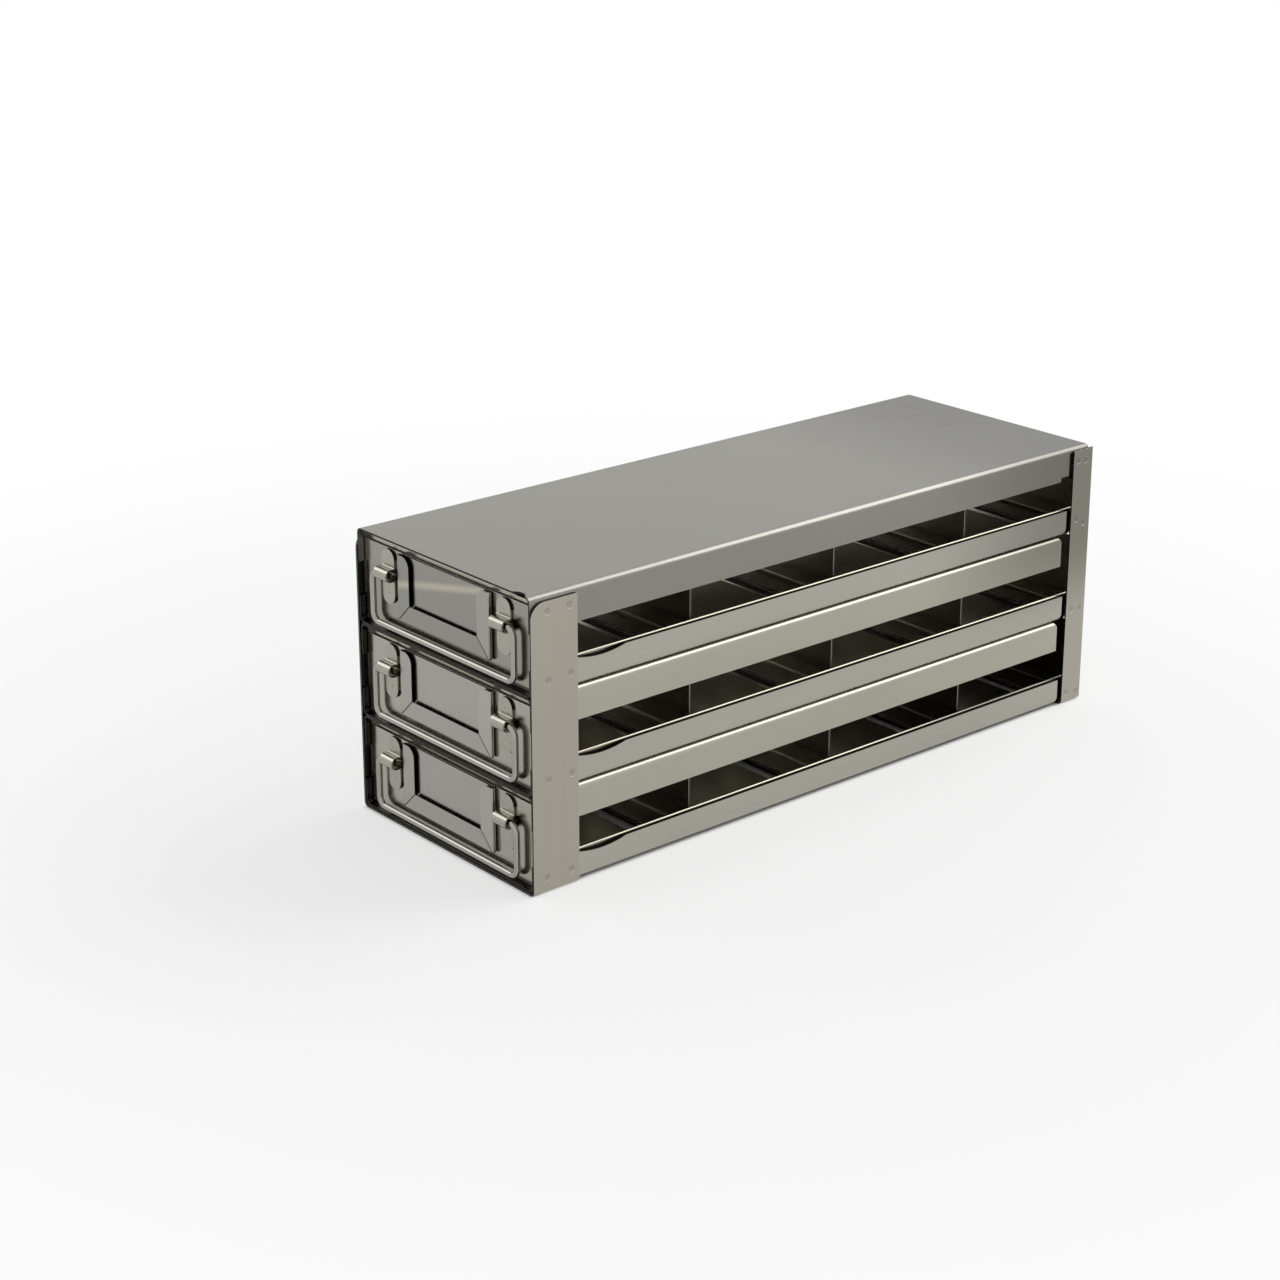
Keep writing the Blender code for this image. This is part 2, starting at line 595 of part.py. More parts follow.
front_strap = finished(make_strap("front_strap", FRONT_STRAP, STRAP_CORNER), strap_steel)
front_strap.location.y = FRONT_Y
rear_strap = finished(make_strap("rear_strap", REAR_STRAP, 0), strap_steel)
rear_strap.location.y = FRONT_Y + STRAP_REAR_FRONT
top_plate = finished(make_top_plate(), top_steel)
top_plate.location.y = FRONT_Y

# One tray and one channel serve as patterns for every level
tray = finished(make_tray("bottom_tray"), tray_steel)
tray.location = (0, FRONT_Y, TRAY_BASES[0])
channel = finished(make_channel("bottom_channel"), channel_steel)
channel.location = (0, FRONT_Y, TRAY_BASES[1] - SEAT)
for level in range(1, LEVELS):
    copy = add_object(LEVEL_NAMES[level] + "_tray", tray.data, parts)
    copy.location = (0, FRONT_Y, TRAY_BASES[level])
for level in range(2, LEVELS):
    copy = add_object(LEVEL_NAMES[level - 1] + "_channel", channel.data, parts)
    copy.location = (0, FRONT_Y, TRAY_BASES[level] - SEAT)

# The drawer's pieces are made once, and each drawer shares their meshes
patterns = {
    "drawer_pan": finished(make_pan(), pan_steel),
    "front_panel": finished(make_front_panel(), panel_steel),
    "label_holder": finished(make_label_holder(), label_steel),
    "bracket": finished(make_bracket(), bracket_steel),
    "divider": finished(make_divider(), divider_steel),
    "rear_wall": finished(make_rear_wall(), divider_steel),
}
shapes = {name: pattern.data for name, pattern in patterns.items()}
for pattern in patterns.values():
    bpy.data.objects.remove(pattern, do_unlink=True)
wire = make_handle()
wire.materials.append(wire_steel)

for level, level_name in enumerate(LEVEL_NAMES):
    drawer = add_object(level_name + "_drawer", None, parts)
    drawer.location = (0, FRONT_Y, TRAY_BASES[level] + FRAME_SHEET + SEAT)
    for shape in ("drawer_pan", "front_panel", "label_holder"):
        place(f"{level_name}_{shape}", shapes[shape], drawer, (0, 0, 0))
    place(level_name + "_left_bracket", shapes["bracket"], drawer, (-BRACKET_X, 0, 0))
    place(level_name + "_right_bracket", shapes["bracket"], drawer, (BRACKET_X, 0, 0))
    for number, face in enumerate(DIVIDER_FACES, 1):
        place(f"{level_name}_divider_{number}", shapes["divider"], drawer, (0, face, 0))
    place(level_name + "_rear_wall", shapes["rear_wall"], drawer, (0, REAR_WALL_FACE, 0))
    place(level_name + "_handle", wire, drawer, (0, AXIS_Y, AXIS_HEIGHT))
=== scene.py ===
# %% [markdown]
# # A freezer rack in folded stainless steel
#
# This lesson dresses a rack for laboratory freezers: five folded trays and channels under
# one top plate, held by two straps, with three drawers that slide in between. Its solids
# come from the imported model, already at their real size and in their real place. Here each
# sheet is folded once more with finer bends, and gets the finish of rolled steel, its dark
# cut edges and its weld marks. Then come the wire handles, light, a floor and a camera.
# Everything is in metres.

import json
import math

import bmesh
import bpy
from mathutils import Matrix, Vector
from mathutils.bvhtree import BVHTree


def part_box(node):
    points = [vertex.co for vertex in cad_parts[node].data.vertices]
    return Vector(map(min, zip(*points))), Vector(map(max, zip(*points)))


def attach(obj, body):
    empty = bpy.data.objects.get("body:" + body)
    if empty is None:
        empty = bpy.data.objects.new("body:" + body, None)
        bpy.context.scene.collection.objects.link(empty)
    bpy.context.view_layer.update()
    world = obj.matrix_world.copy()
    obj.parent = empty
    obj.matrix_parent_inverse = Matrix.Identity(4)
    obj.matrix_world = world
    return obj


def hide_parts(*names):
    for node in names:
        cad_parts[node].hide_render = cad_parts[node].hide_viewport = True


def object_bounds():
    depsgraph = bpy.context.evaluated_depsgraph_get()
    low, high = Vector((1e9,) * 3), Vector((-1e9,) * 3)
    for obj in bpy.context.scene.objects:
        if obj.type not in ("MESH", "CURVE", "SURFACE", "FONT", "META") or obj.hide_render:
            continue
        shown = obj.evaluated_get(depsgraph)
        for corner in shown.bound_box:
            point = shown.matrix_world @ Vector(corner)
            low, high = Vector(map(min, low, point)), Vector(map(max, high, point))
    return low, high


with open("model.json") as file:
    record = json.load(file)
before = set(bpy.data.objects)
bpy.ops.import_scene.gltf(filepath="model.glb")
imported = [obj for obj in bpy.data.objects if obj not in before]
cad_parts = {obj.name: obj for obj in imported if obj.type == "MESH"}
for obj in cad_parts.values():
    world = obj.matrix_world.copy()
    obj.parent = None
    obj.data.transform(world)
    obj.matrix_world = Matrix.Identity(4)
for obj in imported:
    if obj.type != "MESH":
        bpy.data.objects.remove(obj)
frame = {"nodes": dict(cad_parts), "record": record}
cad_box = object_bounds()
scene = bpy.context.scene
MM_PER_METRE = 1000


def size_mm(box):
    return [round(MM_PER_METRE * (high - low), 1) for low, high in zip(*box)]


print("the solids measure", size_mm(cad_box), "mm in", len(frame["nodes"]), "nodes")

# %% [markdown]
# ## The camera
#
# A picture is easiest to match when its camera comes first. This one was found from the
# rack's own straight edges: it stands to the right of the drawers and looks down a little.
# A camera's matrix is just its right, up and back directions as columns, so the two angles
# give it exactly. The object sits below the middle of the picture, and a small lens shift
# keeps it there without tilting the camera.

# %% Place the camera
AZIMUTH = math.radians(49.61)
ELEVATION = math.radians(18.355)
CAMERA_PLACE = Vector((0.94777, -0.87504, 0.54644))
FOCAL_PIXELS = 2599.57
PICTURE = 1280
SENSOR_MM = 36.0
SHIFT_PIXELS = -100

back = Vector((math.sin(AZIMUTH) * math.cos(ELEVATION),
               -math.cos(AZIMUTH) * math.cos(ELEVATION), math.sin(ELEVATION)))
right = Vector((math.cos(AZIMUTH), math.sin(AZIMUTH), 0.0))
camera = bpy.data.objects.new("camera", bpy.data.cameras.new("camera"))
scene.collection.objects.link(camera)
camera.matrix_world = (Matrix.Translation(CAMERA_PLACE)
                       @ Matrix((right, back.cross(right), back)).transposed().to_4x4())
camera.data.sensor_width = SENSOR_MM
camera.data.lens = FOCAL_PIXELS / PICTURE * SENSOR_MM
camera.data.shift_y = SHIFT_PIXELS / PICTURE
camera.data.clip_start = 0.01
scene.camera = camera
print("lens", round(camera.data.lens, 1), "mm, distance", round(CAMERA_PLACE.length, 2), "m")

# %% [markdown]
# ## Shader maths in Python
#
# A procedural finish is mostly arithmetic on a few patterns. Wiring each sum by hand hides
# the idea, so this class wraps the output of a node: `0.3 + 0.1 * grain` then adds the Math
# nodes by itself. One method, `make`, adds any other kind of node. The functions on colours
# and places go through Mix and Separate nodes, because a Math node would turn a colour grey.

# %% A small language for shader nodes


class Wire:
    """The output of a shader node. Arithmetic on it adds Math nodes to its tree."""

    def __init__(self, tree, socket=None):
        self.tree = tree
        self.socket = socket

    def make(self, kind, settings=None, inputs=None, output=0):
        node = self.tree.nodes.new(kind)
        for name, value in (settings or {}).items():
            setattr(node, name, value)
        for name, value in (inputs or {}).items():
            if isinstance(value, Wire):
                self.tree.links.new(value.socket, node.inputs[name])
            else:
                node.inputs[name].default_value = value
        return Wire(self.tree, node.outputs[output])

    def maths(self, operation, first, second=0.0):
        return self.make("ShaderNodeMath", {"operation": operation}, {0: first, 1: second})

    def __add__(self, other):
        return self.maths("ADD", self, other)

    def __radd__(self, other):
        return self.maths("ADD", other, self)

    def __sub__(self, other):
        return self.maths("SUBTRACT", self, other)

    def __rsub__(self, other):
        return self.maths("SUBTRACT", other, self)

    def __mul__(self, other):
        return self.maths("MULTIPLY", self, other)

    def __rmul__(self, other):
        return self.maths("MULTIPLY", other, self)

    def __abs__(self):
        return self.maths("ABSOLUTE", self)

    def finish(self, kind):
        """Send this shader to its tree's output node."""
        target = self.tree.nodes.new(kind)
        self.tree.links.new(self.socket, target.inputs["Surface"])

    def between(self, low, high):
        """0 below low, 1 above high, and smooth in between."""
        return self.make("ShaderNodeMapRange", {"interpolation_type": "SMOOTHSTEP"},
                         {"Value": self, "From Min": low, "From Max": high})

    def tint(self, dark, light):
        """A colour between two, chosen by this value."""
        ends = [end if isinstance(end, Wire) else (*end, 1.0) for end in (dark, light)]
        return self.make("ShaderNodeMix", {"data_type": "RGBA"},
                         {"Factor": self, 6: ends[0], 7: ends[1]}, output=2)

    def axes(self):
        """The three numbers of a place."""
        split = self.make("ShaderNodeSeparateXYZ", None, {0: self}).socket.node.outputs
        return [Wire(self.tree, socket) for socket in split]


def noise(place, stretch, scale, detail=3.0, rough=0.5):
    """Soft random clouds, drawn out along an axis by a small number in stretch."""
    stretched = place.make("ShaderNodeMapping", {"vector_type": "POINT"},
                           {"Vector": place, "Scale": stretch})
    return place.make("ShaderNodeTexNoise", {"noise_dimensions": "3D"},
                      {"Vector": stretched, "Scale": scale, "Detail": detail,
                       "Roughness": rough})


# %% [markdown]
# ## The finish of rolled stainless steel
#
# The sheets are neither brushed nor polished. The mill rolls them, which leaves a satin grey
# with very fine lines along the sheet, broad faint clouds where the rollers pressed
# unevenly, and later the odd smear from handling. A metal has no colour of its own beside
# what it mirrors, so nearly all of this belongs in roughness and bump, with only a little in
# colour. Each kind of piece gets its own tone and its own rolling direction. Painted shade
# then darkens its colour in one region of the rack, given by its ranges along y and z: the
# upper rear, the bottom drawer's rear bays, or the top drawer's front. More painted shade
# darkens the narrow mouths in front of the drawers, and a painted warm glint, a reflection,
# crosses the window of the top drawer's label holder.

# %% The steel material
OBJECT_PLACE = 3
ROLLED_ALONG = {"x": (0.03, 1.0, 1.0), "y": (1.0, 0.03, 1.0), "z": (1.0, 1.0, 0.03)}
EVERY_WAY = (1.0, 1.0, 1.0)
SMEAR_STRETCH = (1.0, 0.55, 1.3)
LINE_SCALE = 2600.0
BAND_SCALE = LINE_SCALE / 14
CLOUD_SCALE = 17.0
SMEAR_SCALE = 42.0
SMEAR_EDGE = (0.56, 0.78)
CLOUD_SHARE = 0.55
SHADE_SPREAD = 0.10
BAND_POLISH = 0.10
CLOUD_POLISH = 0.07
SMEAR_POLISH = 0.10
LINE_STRENGTH = 0.25
LINE_DEPTH = 0.00003
# Ranges along y and z where painted shade darkens the steel: the upper rear, the bottom drawer's
# rear bays, the inside face of its rear wall, and the top drawer's front.
UPPER_REAR_SHADE = ((0.050, 0.185), (0.045, 0.100))
LOWER_REAR_SHADE = ((0.020, 0.120), (0.060, 0.045))
REAR_WALL_SHADE = ((0.1931, 0.1928), (0.060, 0.045))
TOP_DRAWER_SHADE = ((-1.0, -0.9), (0.097, 0.101))
# The narrow mouths in front of the drawers, where painted shade darkens the straps, trays and
# channels, and how dark it gets.
MOUTH_SHADE_DEPTH = (-0.1895, -0.1885)
MOUTH_SHADE_SIDE = (0.0692, 0.0695)
MOUTH_SHADE_TONE = 0.10
# A painted reflection: a warm, lighter band across the top drawer's label window.
GLINT_HEIGHT = 0.1359
GLINT_SLOPE = 0.21
GLINT_WIDTH = 0.0032
GLINT_TONE = (1.50, 1.44, 1.24)
materials = {}


def new_material(name):
    """A material with an empty node tree, and a place to start wiring."""
    material = bpy.data.materials.new(name)
    material.use_nodes = True
    material.node_tree.nodes.clear()
    return material, Wire(material.node_tree)


def times(colour, factor):
    return [factor * channel for channel in colour]


def steel(name, colour, roughness, rolled, lines=0.5, smears=0.5, mouth_shade=0.0,
          shade_region=UPPER_REAR_SHADE, shade_tone=1.0, glint=0.0):
    """Mill-rolled steel; lines, smears, painted mouth shade and painted glint, from 0 to 1, say
    how much there is.

    The painted shade darkens the colour to the given share of itself over the given ranges
    along y and z. The mouth shade darkens the mouths in front of the drawers, and the glint is
    a painted warm reflection.
    """
    materials[name], start = new_material(name)
    place = start.make("ShaderNodeTexCoord", output=OBJECT_PLACE)
    rolling = noise(place, ROLLED_ALONG[rolled], LINE_SCALE, detail=4.0, rough=0.6)
    bands = noise(place, ROLLED_ALONG[rolled], BAND_SCALE, detail=2.0)
    clouds = noise(place, EVERY_WAY, CLOUD_SCALE, detail=4.0)
    smear = noise(place, SMEAR_STRETCH, SMEAR_SCALE, detail=5.0, rough=0.62).between(*SMEAR_EDGE)
    shade = CLOUD_SHARE * clouds + (1.0 - CLOUD_SHARE) * bands
    tone = shade.tint(times(colour, 1.0 - SHADE_SPREAD), times(colour, 1.0 + SHADE_SPREAD))
    x, y, z = place.axes()
    # Painted shade: over the region's ranges the colour darkens to the given share of itself.
    region_shade = y.between(*shade_region[0]) * z.between(*shade_region[1])
    tone = region_shade.tint(tone, times(colour, shade_tone))
    # Painted reflection: the warm glint across the top drawer's label window.
    if glint:
        off_glint = z - GLINT_SLOPE * x - GLINT_HEIGHT
        glint_mask = glint * (1.0 - abs(off_glint).between(0.0, GLINT_WIDTH))
        tone = glint_mask.tint(tone, [factor * c for factor, c in zip(GLINT_TONE, colour)])
    # Painted shade in the narrow mouths in front of the drawers.
    if mouth_shade:
        mouth_shade_mask = (1.0 - y.between(*MOUTH_SHADE_DEPTH)) * (1.0 - abs(x).between(*MOUTH_SHADE_SIDE))
        tone = (mouth_shade * mouth_shade_mask).tint(tone, times(colour, MOUTH_SHADE_TONE))
    polish = (roughness + BAND_POLISH * lines * (bands - 0.5) + CLOUD_POLISH * (clouds - 0.5)
              + SMEAR_POLISH * smears * smear)
    relief = start.make("ShaderNodeBump", None, {
        "Strength": LINE_STRENGTH * lines, "Distance": LINE_DEPTH, "Height": rolling})
    body = start.make("ShaderNodeBsdfPrincipled", None, {
        "Base Color": tone, "Metallic": 1.0, "Roughness": polish, "Normal": relief})
    body.finish("ShaderNodeOutputMaterial")


# Where a line gives a share, it says how far that steel's painted shade darkens its colour.
steel("top_plate_steel", (0.250, 0.246, 0.220), 0.33, "y", 0.5, 0.4, shade_tone=0.64)
# Straps, trays and channels take the full painted shade in the drawers' mouths.
steel("strap_steel", (0.385, 0.363, 0.308), 0.30, "z", 0.5, 0.4, mouth_shade=1.0, shade_tone=0.55)
steel("tray_steel", (0.403, 0.388, 0.340), 0.22, "y", 0.7, 0.4, mouth_shade=1.0, shade_tone=0.54)
steel("channel_steel", (0.400, 0.384, 0.322), 0.26, "y", 0.7, 0.4, mouth_shade=1.0, shade_tone=0.52)
steel("pan_steel", (0.365, 0.342, 0.275), 0.22, "y", 0.3, 0.1, shade_region=LOWER_REAR_SHADE, shade_tone=0.40)
steel("front_panel_steel", (0.373, 0.360, 0.317), 0.20, "x", shade_region=TOP_DRAWER_SHADE, shade_tone=0.75)
steel("label_holder_steel", (0.352, 0.341, 0.309), 0.22, "x", shade_region=TOP_DRAWER_SHADE, shade_tone=0.75,
      glint=0.6)
# The right stile's lighter steel is painted light.
steel("stile_painted_light_steel", (0.385, 0.374, 0.336), 0.30, "z", shade_region=TOP_DRAWER_SHADE, shade_tone=0.85)
steel("bracket_steel", (0.350, 0.337, 0.288), 0.17, "z", 0.4, 0.4)
steel("divider_steel", (0.360, 0.340, 0.280), 0.22, "x", 0.3, 0.1,
      shade_region=LOWER_REAR_SHADE, shade_tone=0.40)
steel("rear_wall_steel", (0.360, 0.340, 0.280), 0.22, "x", 0.3, 0.1,
      shade_region=REAR_WALL_SHADE, shade_tone=0.40)
steel("wire_steel", (0.340, 0.330, 0.296), 0.11, "x", 0.2, 0.2)
steel("cut_edge_steel", (0.024, 0.022, 0.018), 0.45, "z", 0.1, 0.0)
# The bevels' lighter steel is a painted highlight.
steel("edge_highlight_steel", (0.520, 0.510, 0.475), 0.36, "z", 0.2, 0.0)
steel("weld_steel", (0.322, 0.304, 0.257), 0.24, "z", 0.2, 0.0, shade_tone=0.55)
print(len(materials), "steels")

# %% [markdown]
# ## The rack's measures
#
# A sheet-metal part is a list of folds, so its sizes come first. Whatever touches, fits into
# or lines up with another piece takes its size from the same values. The origin lies in the
# middle of the object, and y is measured from the rack's front edge until a piece is placed.

# %% The frame's sizes
LEVEL_NAMES = ("bottom", "middle", "top")
RACK_WIDTH = 0.140
RACK_LENGTH = 0.390
LEVEL_PITCH = 0.0495
FRAME_SHEET = 0.0010
FRAME_BEND = 0.0019
SEAT = 0.0003
FRONT_STRAP = 0.0275
REAR_STRAP = 0.0150
FRONT_STRAP_DROP = 0.0031
REAR_STRAP_DROP = 0.0018
STRAP_CORNER = 0.0080
EDGE_SETBACK = 0.0004
FRAME_FOLD = FRAME_BEND + FRAME_SHEET
HALF_FRAME = RACK_WIDTH / 2 - FRAME_SHEET - SEAT
TRAY_BASES = [FRAME_SHEET + SEAT + LEVEL_PITCH * level for level in range(len(LEVEL_NAMES))]
RACK_TOP = FRAME_SHEET + SEAT + LEVEL_PITCH * len(LEVEL_NAMES)
TRAY_REAR = RACK_LENGTH - EDGE_SETBACK
STRAP_REAR_FRONT = RACK_LENGTH - REAR_STRAP
FRONT_Y = cad_box[1][1] - RACK_LENGTH
print("rack", RACK_WIDTH, "by", RACK_LENGTH, "by", round(RACK_TOP, 4),
      "m, front at", round(FRONT_Y, 4))

# %% The drawers' sizes
DRAWER_SHEET = 0.0009
DRAWER_BEND = 0.0009
PANEL_RECESS = 0.0038
PANEL_SIDE_CLEARANCE = 0.0009
PAN_SIDE_CLEARANCE = 0.0015
PAN_REAR_CLEARANCE = 0.0004
FRONT_WALL_GAP = 0.0024
PANEL_DROP = 0.0022
FIRST_DIVIDER = 0.1022
DIVIDER_PITCH = 0.0967
REAR_COMPARTMENT = 0.0896
FOOT_LENGTH = 0.0155
LEVEL_CLEAR = LEVEL_PITCH - 2 * FRAME_SHEET - SEAT
FRONT_WALL_TOP = LEVEL_CLEAR - SEAT - FRONT_WALL_GAP
PANEL_HEIGHT = FRONT_WALL_TOP - PANEL_DROP
PANEL_HALF = HALF_FRAME - FRAME_SHEET - PANEL_SIDE_CLEARANCE
PAN_HALF = HALF_FRAME - FRAME_SHEET - PAN_SIDE_CLEARANCE
PAN_FRONT = PANEL_RECESS + DRAWER_SHEET + SEAT
PAN_REAR = TRAY_REAR - FRAME_SHEET - PAN_REAR_CLEARANCE
DIVIDER_FACES = [FIRST_DIVIDER + DIVIDER_PITCH * number for number in range(3)]
REAR_WALL_FACE = DIVIDER_FACES[-1] + DRAWER_SHEET + REAR_COMPARTMENT
print("a drawer's front is", round(2 * PANEL_HALF, 4), "by", round(PANEL_HEIGHT, 4), "m")

# %% [markdown]
# ## Outlines, cutters and folds
#
# Two ideas make every sheet piece. A flat outline is a 2D curve, filled and extruded, and it
# serves as a plate or as a cutter. A bent sheet is an open surface in the middle of the
# metal, and Solidify gives it its thickness afterwards, so that a fold has the same wall on
# both sides. Cutters then take out what the laser would, because a hole is easier to cut
# from a folded sheet than to fold around.

# %% Outlines
BEND_STEPS = 8
ARC_STEPS = 10
BOW_STEPS = 16
POINT_MERGE = 0.000001
OVERCUT = 0.0020
ACROSS = Matrix(((0, 0, 1, 0), (1, 0, 0, 0), (0, 1, 0, 0), (0, 0, 0, 1)))
ALONG = Matrix(((1, 0, 0, 0), (0, 0, -1, 0), (0, 1, 0, 0), (0, 0, 0, 1)))
FLAT = Matrix.Identity(4)


def add_object(name, data):
    thing = bpy.data.objects.new(name, data)
    scene.collection.objects.link(thing)
    return thing


def arc(centre, radius, start, end, steps=ARC_STEPS):
    """Points on an arc, from one angle to another in degrees."""
    angles = [math.radians(start + (end - start) * i / steps) for i in range(steps + 1)]
    return [(centre[0] + radius * math.cos(a), centre[1] + radius * math.sin(a)) for a in angles]


def filleted(corners, radii, closed=False, steps=BEND_STEPS):
    """A path through the corners, with an arc of the given radius at each one."""
    points = []
    count = len(corners)
    for i, (corner, radius) in enumerate(zip(corners, radii)):
        here = Vector(corner)
        if radius == 0 or (not closed and i in (0, count - 1)):
            points.append(tuple(here))
            continue
        back = (Vector(corners[i - 1]) - here).normalized()
        ahead = (Vector(corners[(i + 1) % count]) - here).normalized()
        opening = back.angle(ahead)
        centre = here + (back + ahead).normalized() * radius / math.sin(opening / 2)
        first = here + back * radius / math.tan(opening / 2) - centre
        last = here + ahead * radius / math.tan(opening / 2) - centre
        turn = -first.angle_signed(last)
        for step in range(steps + 1):
            points.append(tuple(centre + Matrix.Rotation(turn * step / steps, 2) @ first))
    return points


def bow(middle, edge, length, depth, outward):
    """A shallow arc cut into a straight edge, closed off beyond it (outward is 1 or -1)."""
    half = length / 2
    radius = (half ** 2 + depth ** 2) / (2 * depth)
    spread = math.degrees(math.asin(half / radius))
    centre = (middle, edge + outward * (radius - depth))
    facing = -90 * outward
    past = edge + outward * OVERCUT
    return arc(centre, radius, facing - spread, facing + spread, BOW_STEPS) + [
        (middle + outward * half, past), (middle - outward * half, past)]


def outline_mesh(name, path, depth, closed):
    """A flat curve, extruded by its depth: a solid plate if closed, else an open ribbon."""
    curve = bpy.data.curves.new(name, "CURVE")
    curve.dimensions = "2D"
    curve.fill_mode = "BOTH" if closed else "NONE"
    curve.extrude = depth / 2
    spline = curve.splines.new("POLY")
    spline.points.add(len(path) - 1)
    for point, (u, v) in zip(spline.points, path):
        point.co = (u, v, 0.0, 1.0)
    spline.use_cyclic_u = closed
    guide = add_object(name, curve)
    bpy.context.view_layer.update()
    graph = bpy.context.evaluated_depsgraph_get()
    mesh = bpy.data.meshes.new_from_object(guide.evaluated_get(graph))
    bpy.data.objects.remove(guide, do_unlink=True)
    bm = bmesh.new()
    bm.from_mesh(mesh)
    bmesh.ops.remove_doubles(bm, verts=bm.verts, dist=POINT_MERGE)
    if closed:
        bmesh.ops.recalc_face_normals(bm, faces=bm.faces)
    bm.to_mesh(mesh)
    bm.free()
    return mesh


def prism(path, turn, low, high):
    """A solid of the given outline, from low to high along its thickness."""
    mesh = outline_mesh("outline", path, high - low, True)
    mesh.transform(turn)
    middle = turn.to_3x3() @ Vector((0.0, 0.0, 1.0))
    axis = Vector([abs(value) for value in middle])
    mesh.transform(Matrix.Translation(axis * (low + high) / 2))
    return mesh


def mirrored_prisms(path, inner, outer):
    """The same outline on both sides of the rack, between two distances from its middle."""
    return [prism(path, ACROSS, inner, outer), prism(path, ACROSS, -outer, -inner)]


# %% Cutters and folds


def cutter(name, meshes):
    """One hidden tool made of several separate solids."""
    bm = bmesh.new()
    for mesh in meshes:
        bm.from_mesh(mesh)
    joined = bpy.data.meshes.new(name)
    bm.to_mesh(joined)
    bm.free()
    return add_object(name, joined)


def cut(piece, tool, operation="DIFFERENCE"):
    modifier = piece.modifiers.new(tool.name, "BOOLEAN")
    modifier.operation = operation
    modifier.solver = "EXACT"
    modifier.object = tool


def thicken(piece, thickness):
    """Give an open middle surface its sheet thickness, half to each side."""
    modifier = piece.modifiers.new("sheet", "SOLIDIFY")
    modifier.thickness = thickness
    modifier.offset = 0.0
    modifier.use_even_offset = True


def bent_sheet(name, path, turn, width, thickness):
    """A sheet bent along one path and equally wide everywhere."""
    mesh = outline_mesh(name, path, width, False)
    mesh.transform(turn)
    piece = add_object(name, mesh)
    thicken(piece, thickness)
    return piece


def folded_box(name, low, high, open_sides, fold, thickness):
    """A box folded from sheet; low and high are its outer corners, fold its outer radius.

    open_sides lists the missing walls as (axis, side), such as (2, 1) for the top.
    """
    bm = bmesh.new()
    bmesh.ops.create_cube(bm, size=1.0)
    for face in list(bm.faces):
        axis = max(range(3), key=lambda i: abs(face.normal[i]))
        side = 1 if face.normal[axis] > 0 else -1
        if (axis, side) in open_sides:
            bmesh.ops.delete(bm, geom=[face], context="FACES")
    for vertex in bm.verts:
        for axis in range(3):
            side = 1 if vertex.co[axis] > 0 else -1
            inset = 0.0 if (axis, side) in open_sides else thickness / 2
            limit = high[axis] if side > 0 else low[axis]
            vertex.co[axis] = limit - side * inset
    folds = [edge for edge in bm.edges if len(edge.link_faces) == 2]
    bmesh.ops.bevel(bm, geom=folds, offset=fold - thickness / 2, segments=BEND_STEPS,
                    profile=0.5, affect="EDGES", clamp_overlap=True)
    mesh = bpy.data.meshes.new(name)
    bm.to_mesh(mesh)
    bm.free()
    piece = add_object(name, mesh)
    thicken(piece, thickness)
    return piece


def fold_on(piece, low, high, path, u_axis, v_axis):
    """Fold further sheet onto the free edges that lie between two corners of space.

    The path holds the fold's (u, v) points, and the two axes say where u and v point.
    """
    bm = bmesh.new()
    bm.from_mesh(piece.data)
    rim = [edge for edge in bm.edges if edge.is_boundary
           and all(low[i] - SEAT < vertex.co[i] < high[i] + SEAT
                   for vertex in edge.verts for i in range(3))]
    for (u, v), (next_u, next_v) in zip(path, path[1:]):
        grown = bmesh.ops.extrude_edge_only(bm, edges=rim)["geom"]
        moved = [item for item in grown if isinstance(item, bmesh.types.BMVert)]
        step = Vector(u_axis) * (next_u - u) + Vector(v_axis) * (next_v - v)
        bmesh.ops.translate(bm, verts=moved, vec=step)
        rim = [item for item in grown if isinstance(item, bmesh.types.BMEdge)
               and all(vertex in moved for vertex in item.verts)]
    bmesh.ops.recalc_face_normals(bm, faces=bm.faces)
    bm.to_mesh(piece.data)
    bm.free()


def plain(piece):
    """Replace a piece's live modifiers by the mesh that they make, and clear its cutters away."""
    bpy.context.view_layer.update()
    graph = bpy.context.evaluated_depsgraph_get()
    mesh = bpy.data.meshes.new_from_object(piece.evaluated_get(graph))
    used = [modifier.object for modifier in piece.modifiers if modifier.type == "BOOLEAN"]
    piece.modifiers.clear()
    piece.data = mesh
    for tool in used:
        bpy.data.objects.remove(tool, do_unlink=True)
    return piece


# %% [markdown]
# ## Rolled faces and cut edges
#
# Laser-cut sheet shows two surfaces: the rolled face, and the narrow dark edge that the beam
# left. A ray sent into the metal tells them apart. Through the sheet it comes out after a
# millimetre at most; from a cut edge it travels along inside the sheet for much further.
# The faces are sorted this way. The sharp corners are then broken by a tiny bevel,
# because no real edge is perfectly sharp and the bevel is what catches light. The bevel's
# steel is lighter as well: a painted highlight on top of the light it catches.

# %% Dress a folded piece
SHEET_LIMIT = 0.0016
MERGE = 0.000002
EDGE_BREAK = 0.00016
CUT_EDGE = 1
EDGE_HIGHLIGHT = 2
FLAT_ANGLE = math.radians(1.0)
SHARP_ANGLE = math.radians(30)
BREAK_ANGLE = math.radians(50)


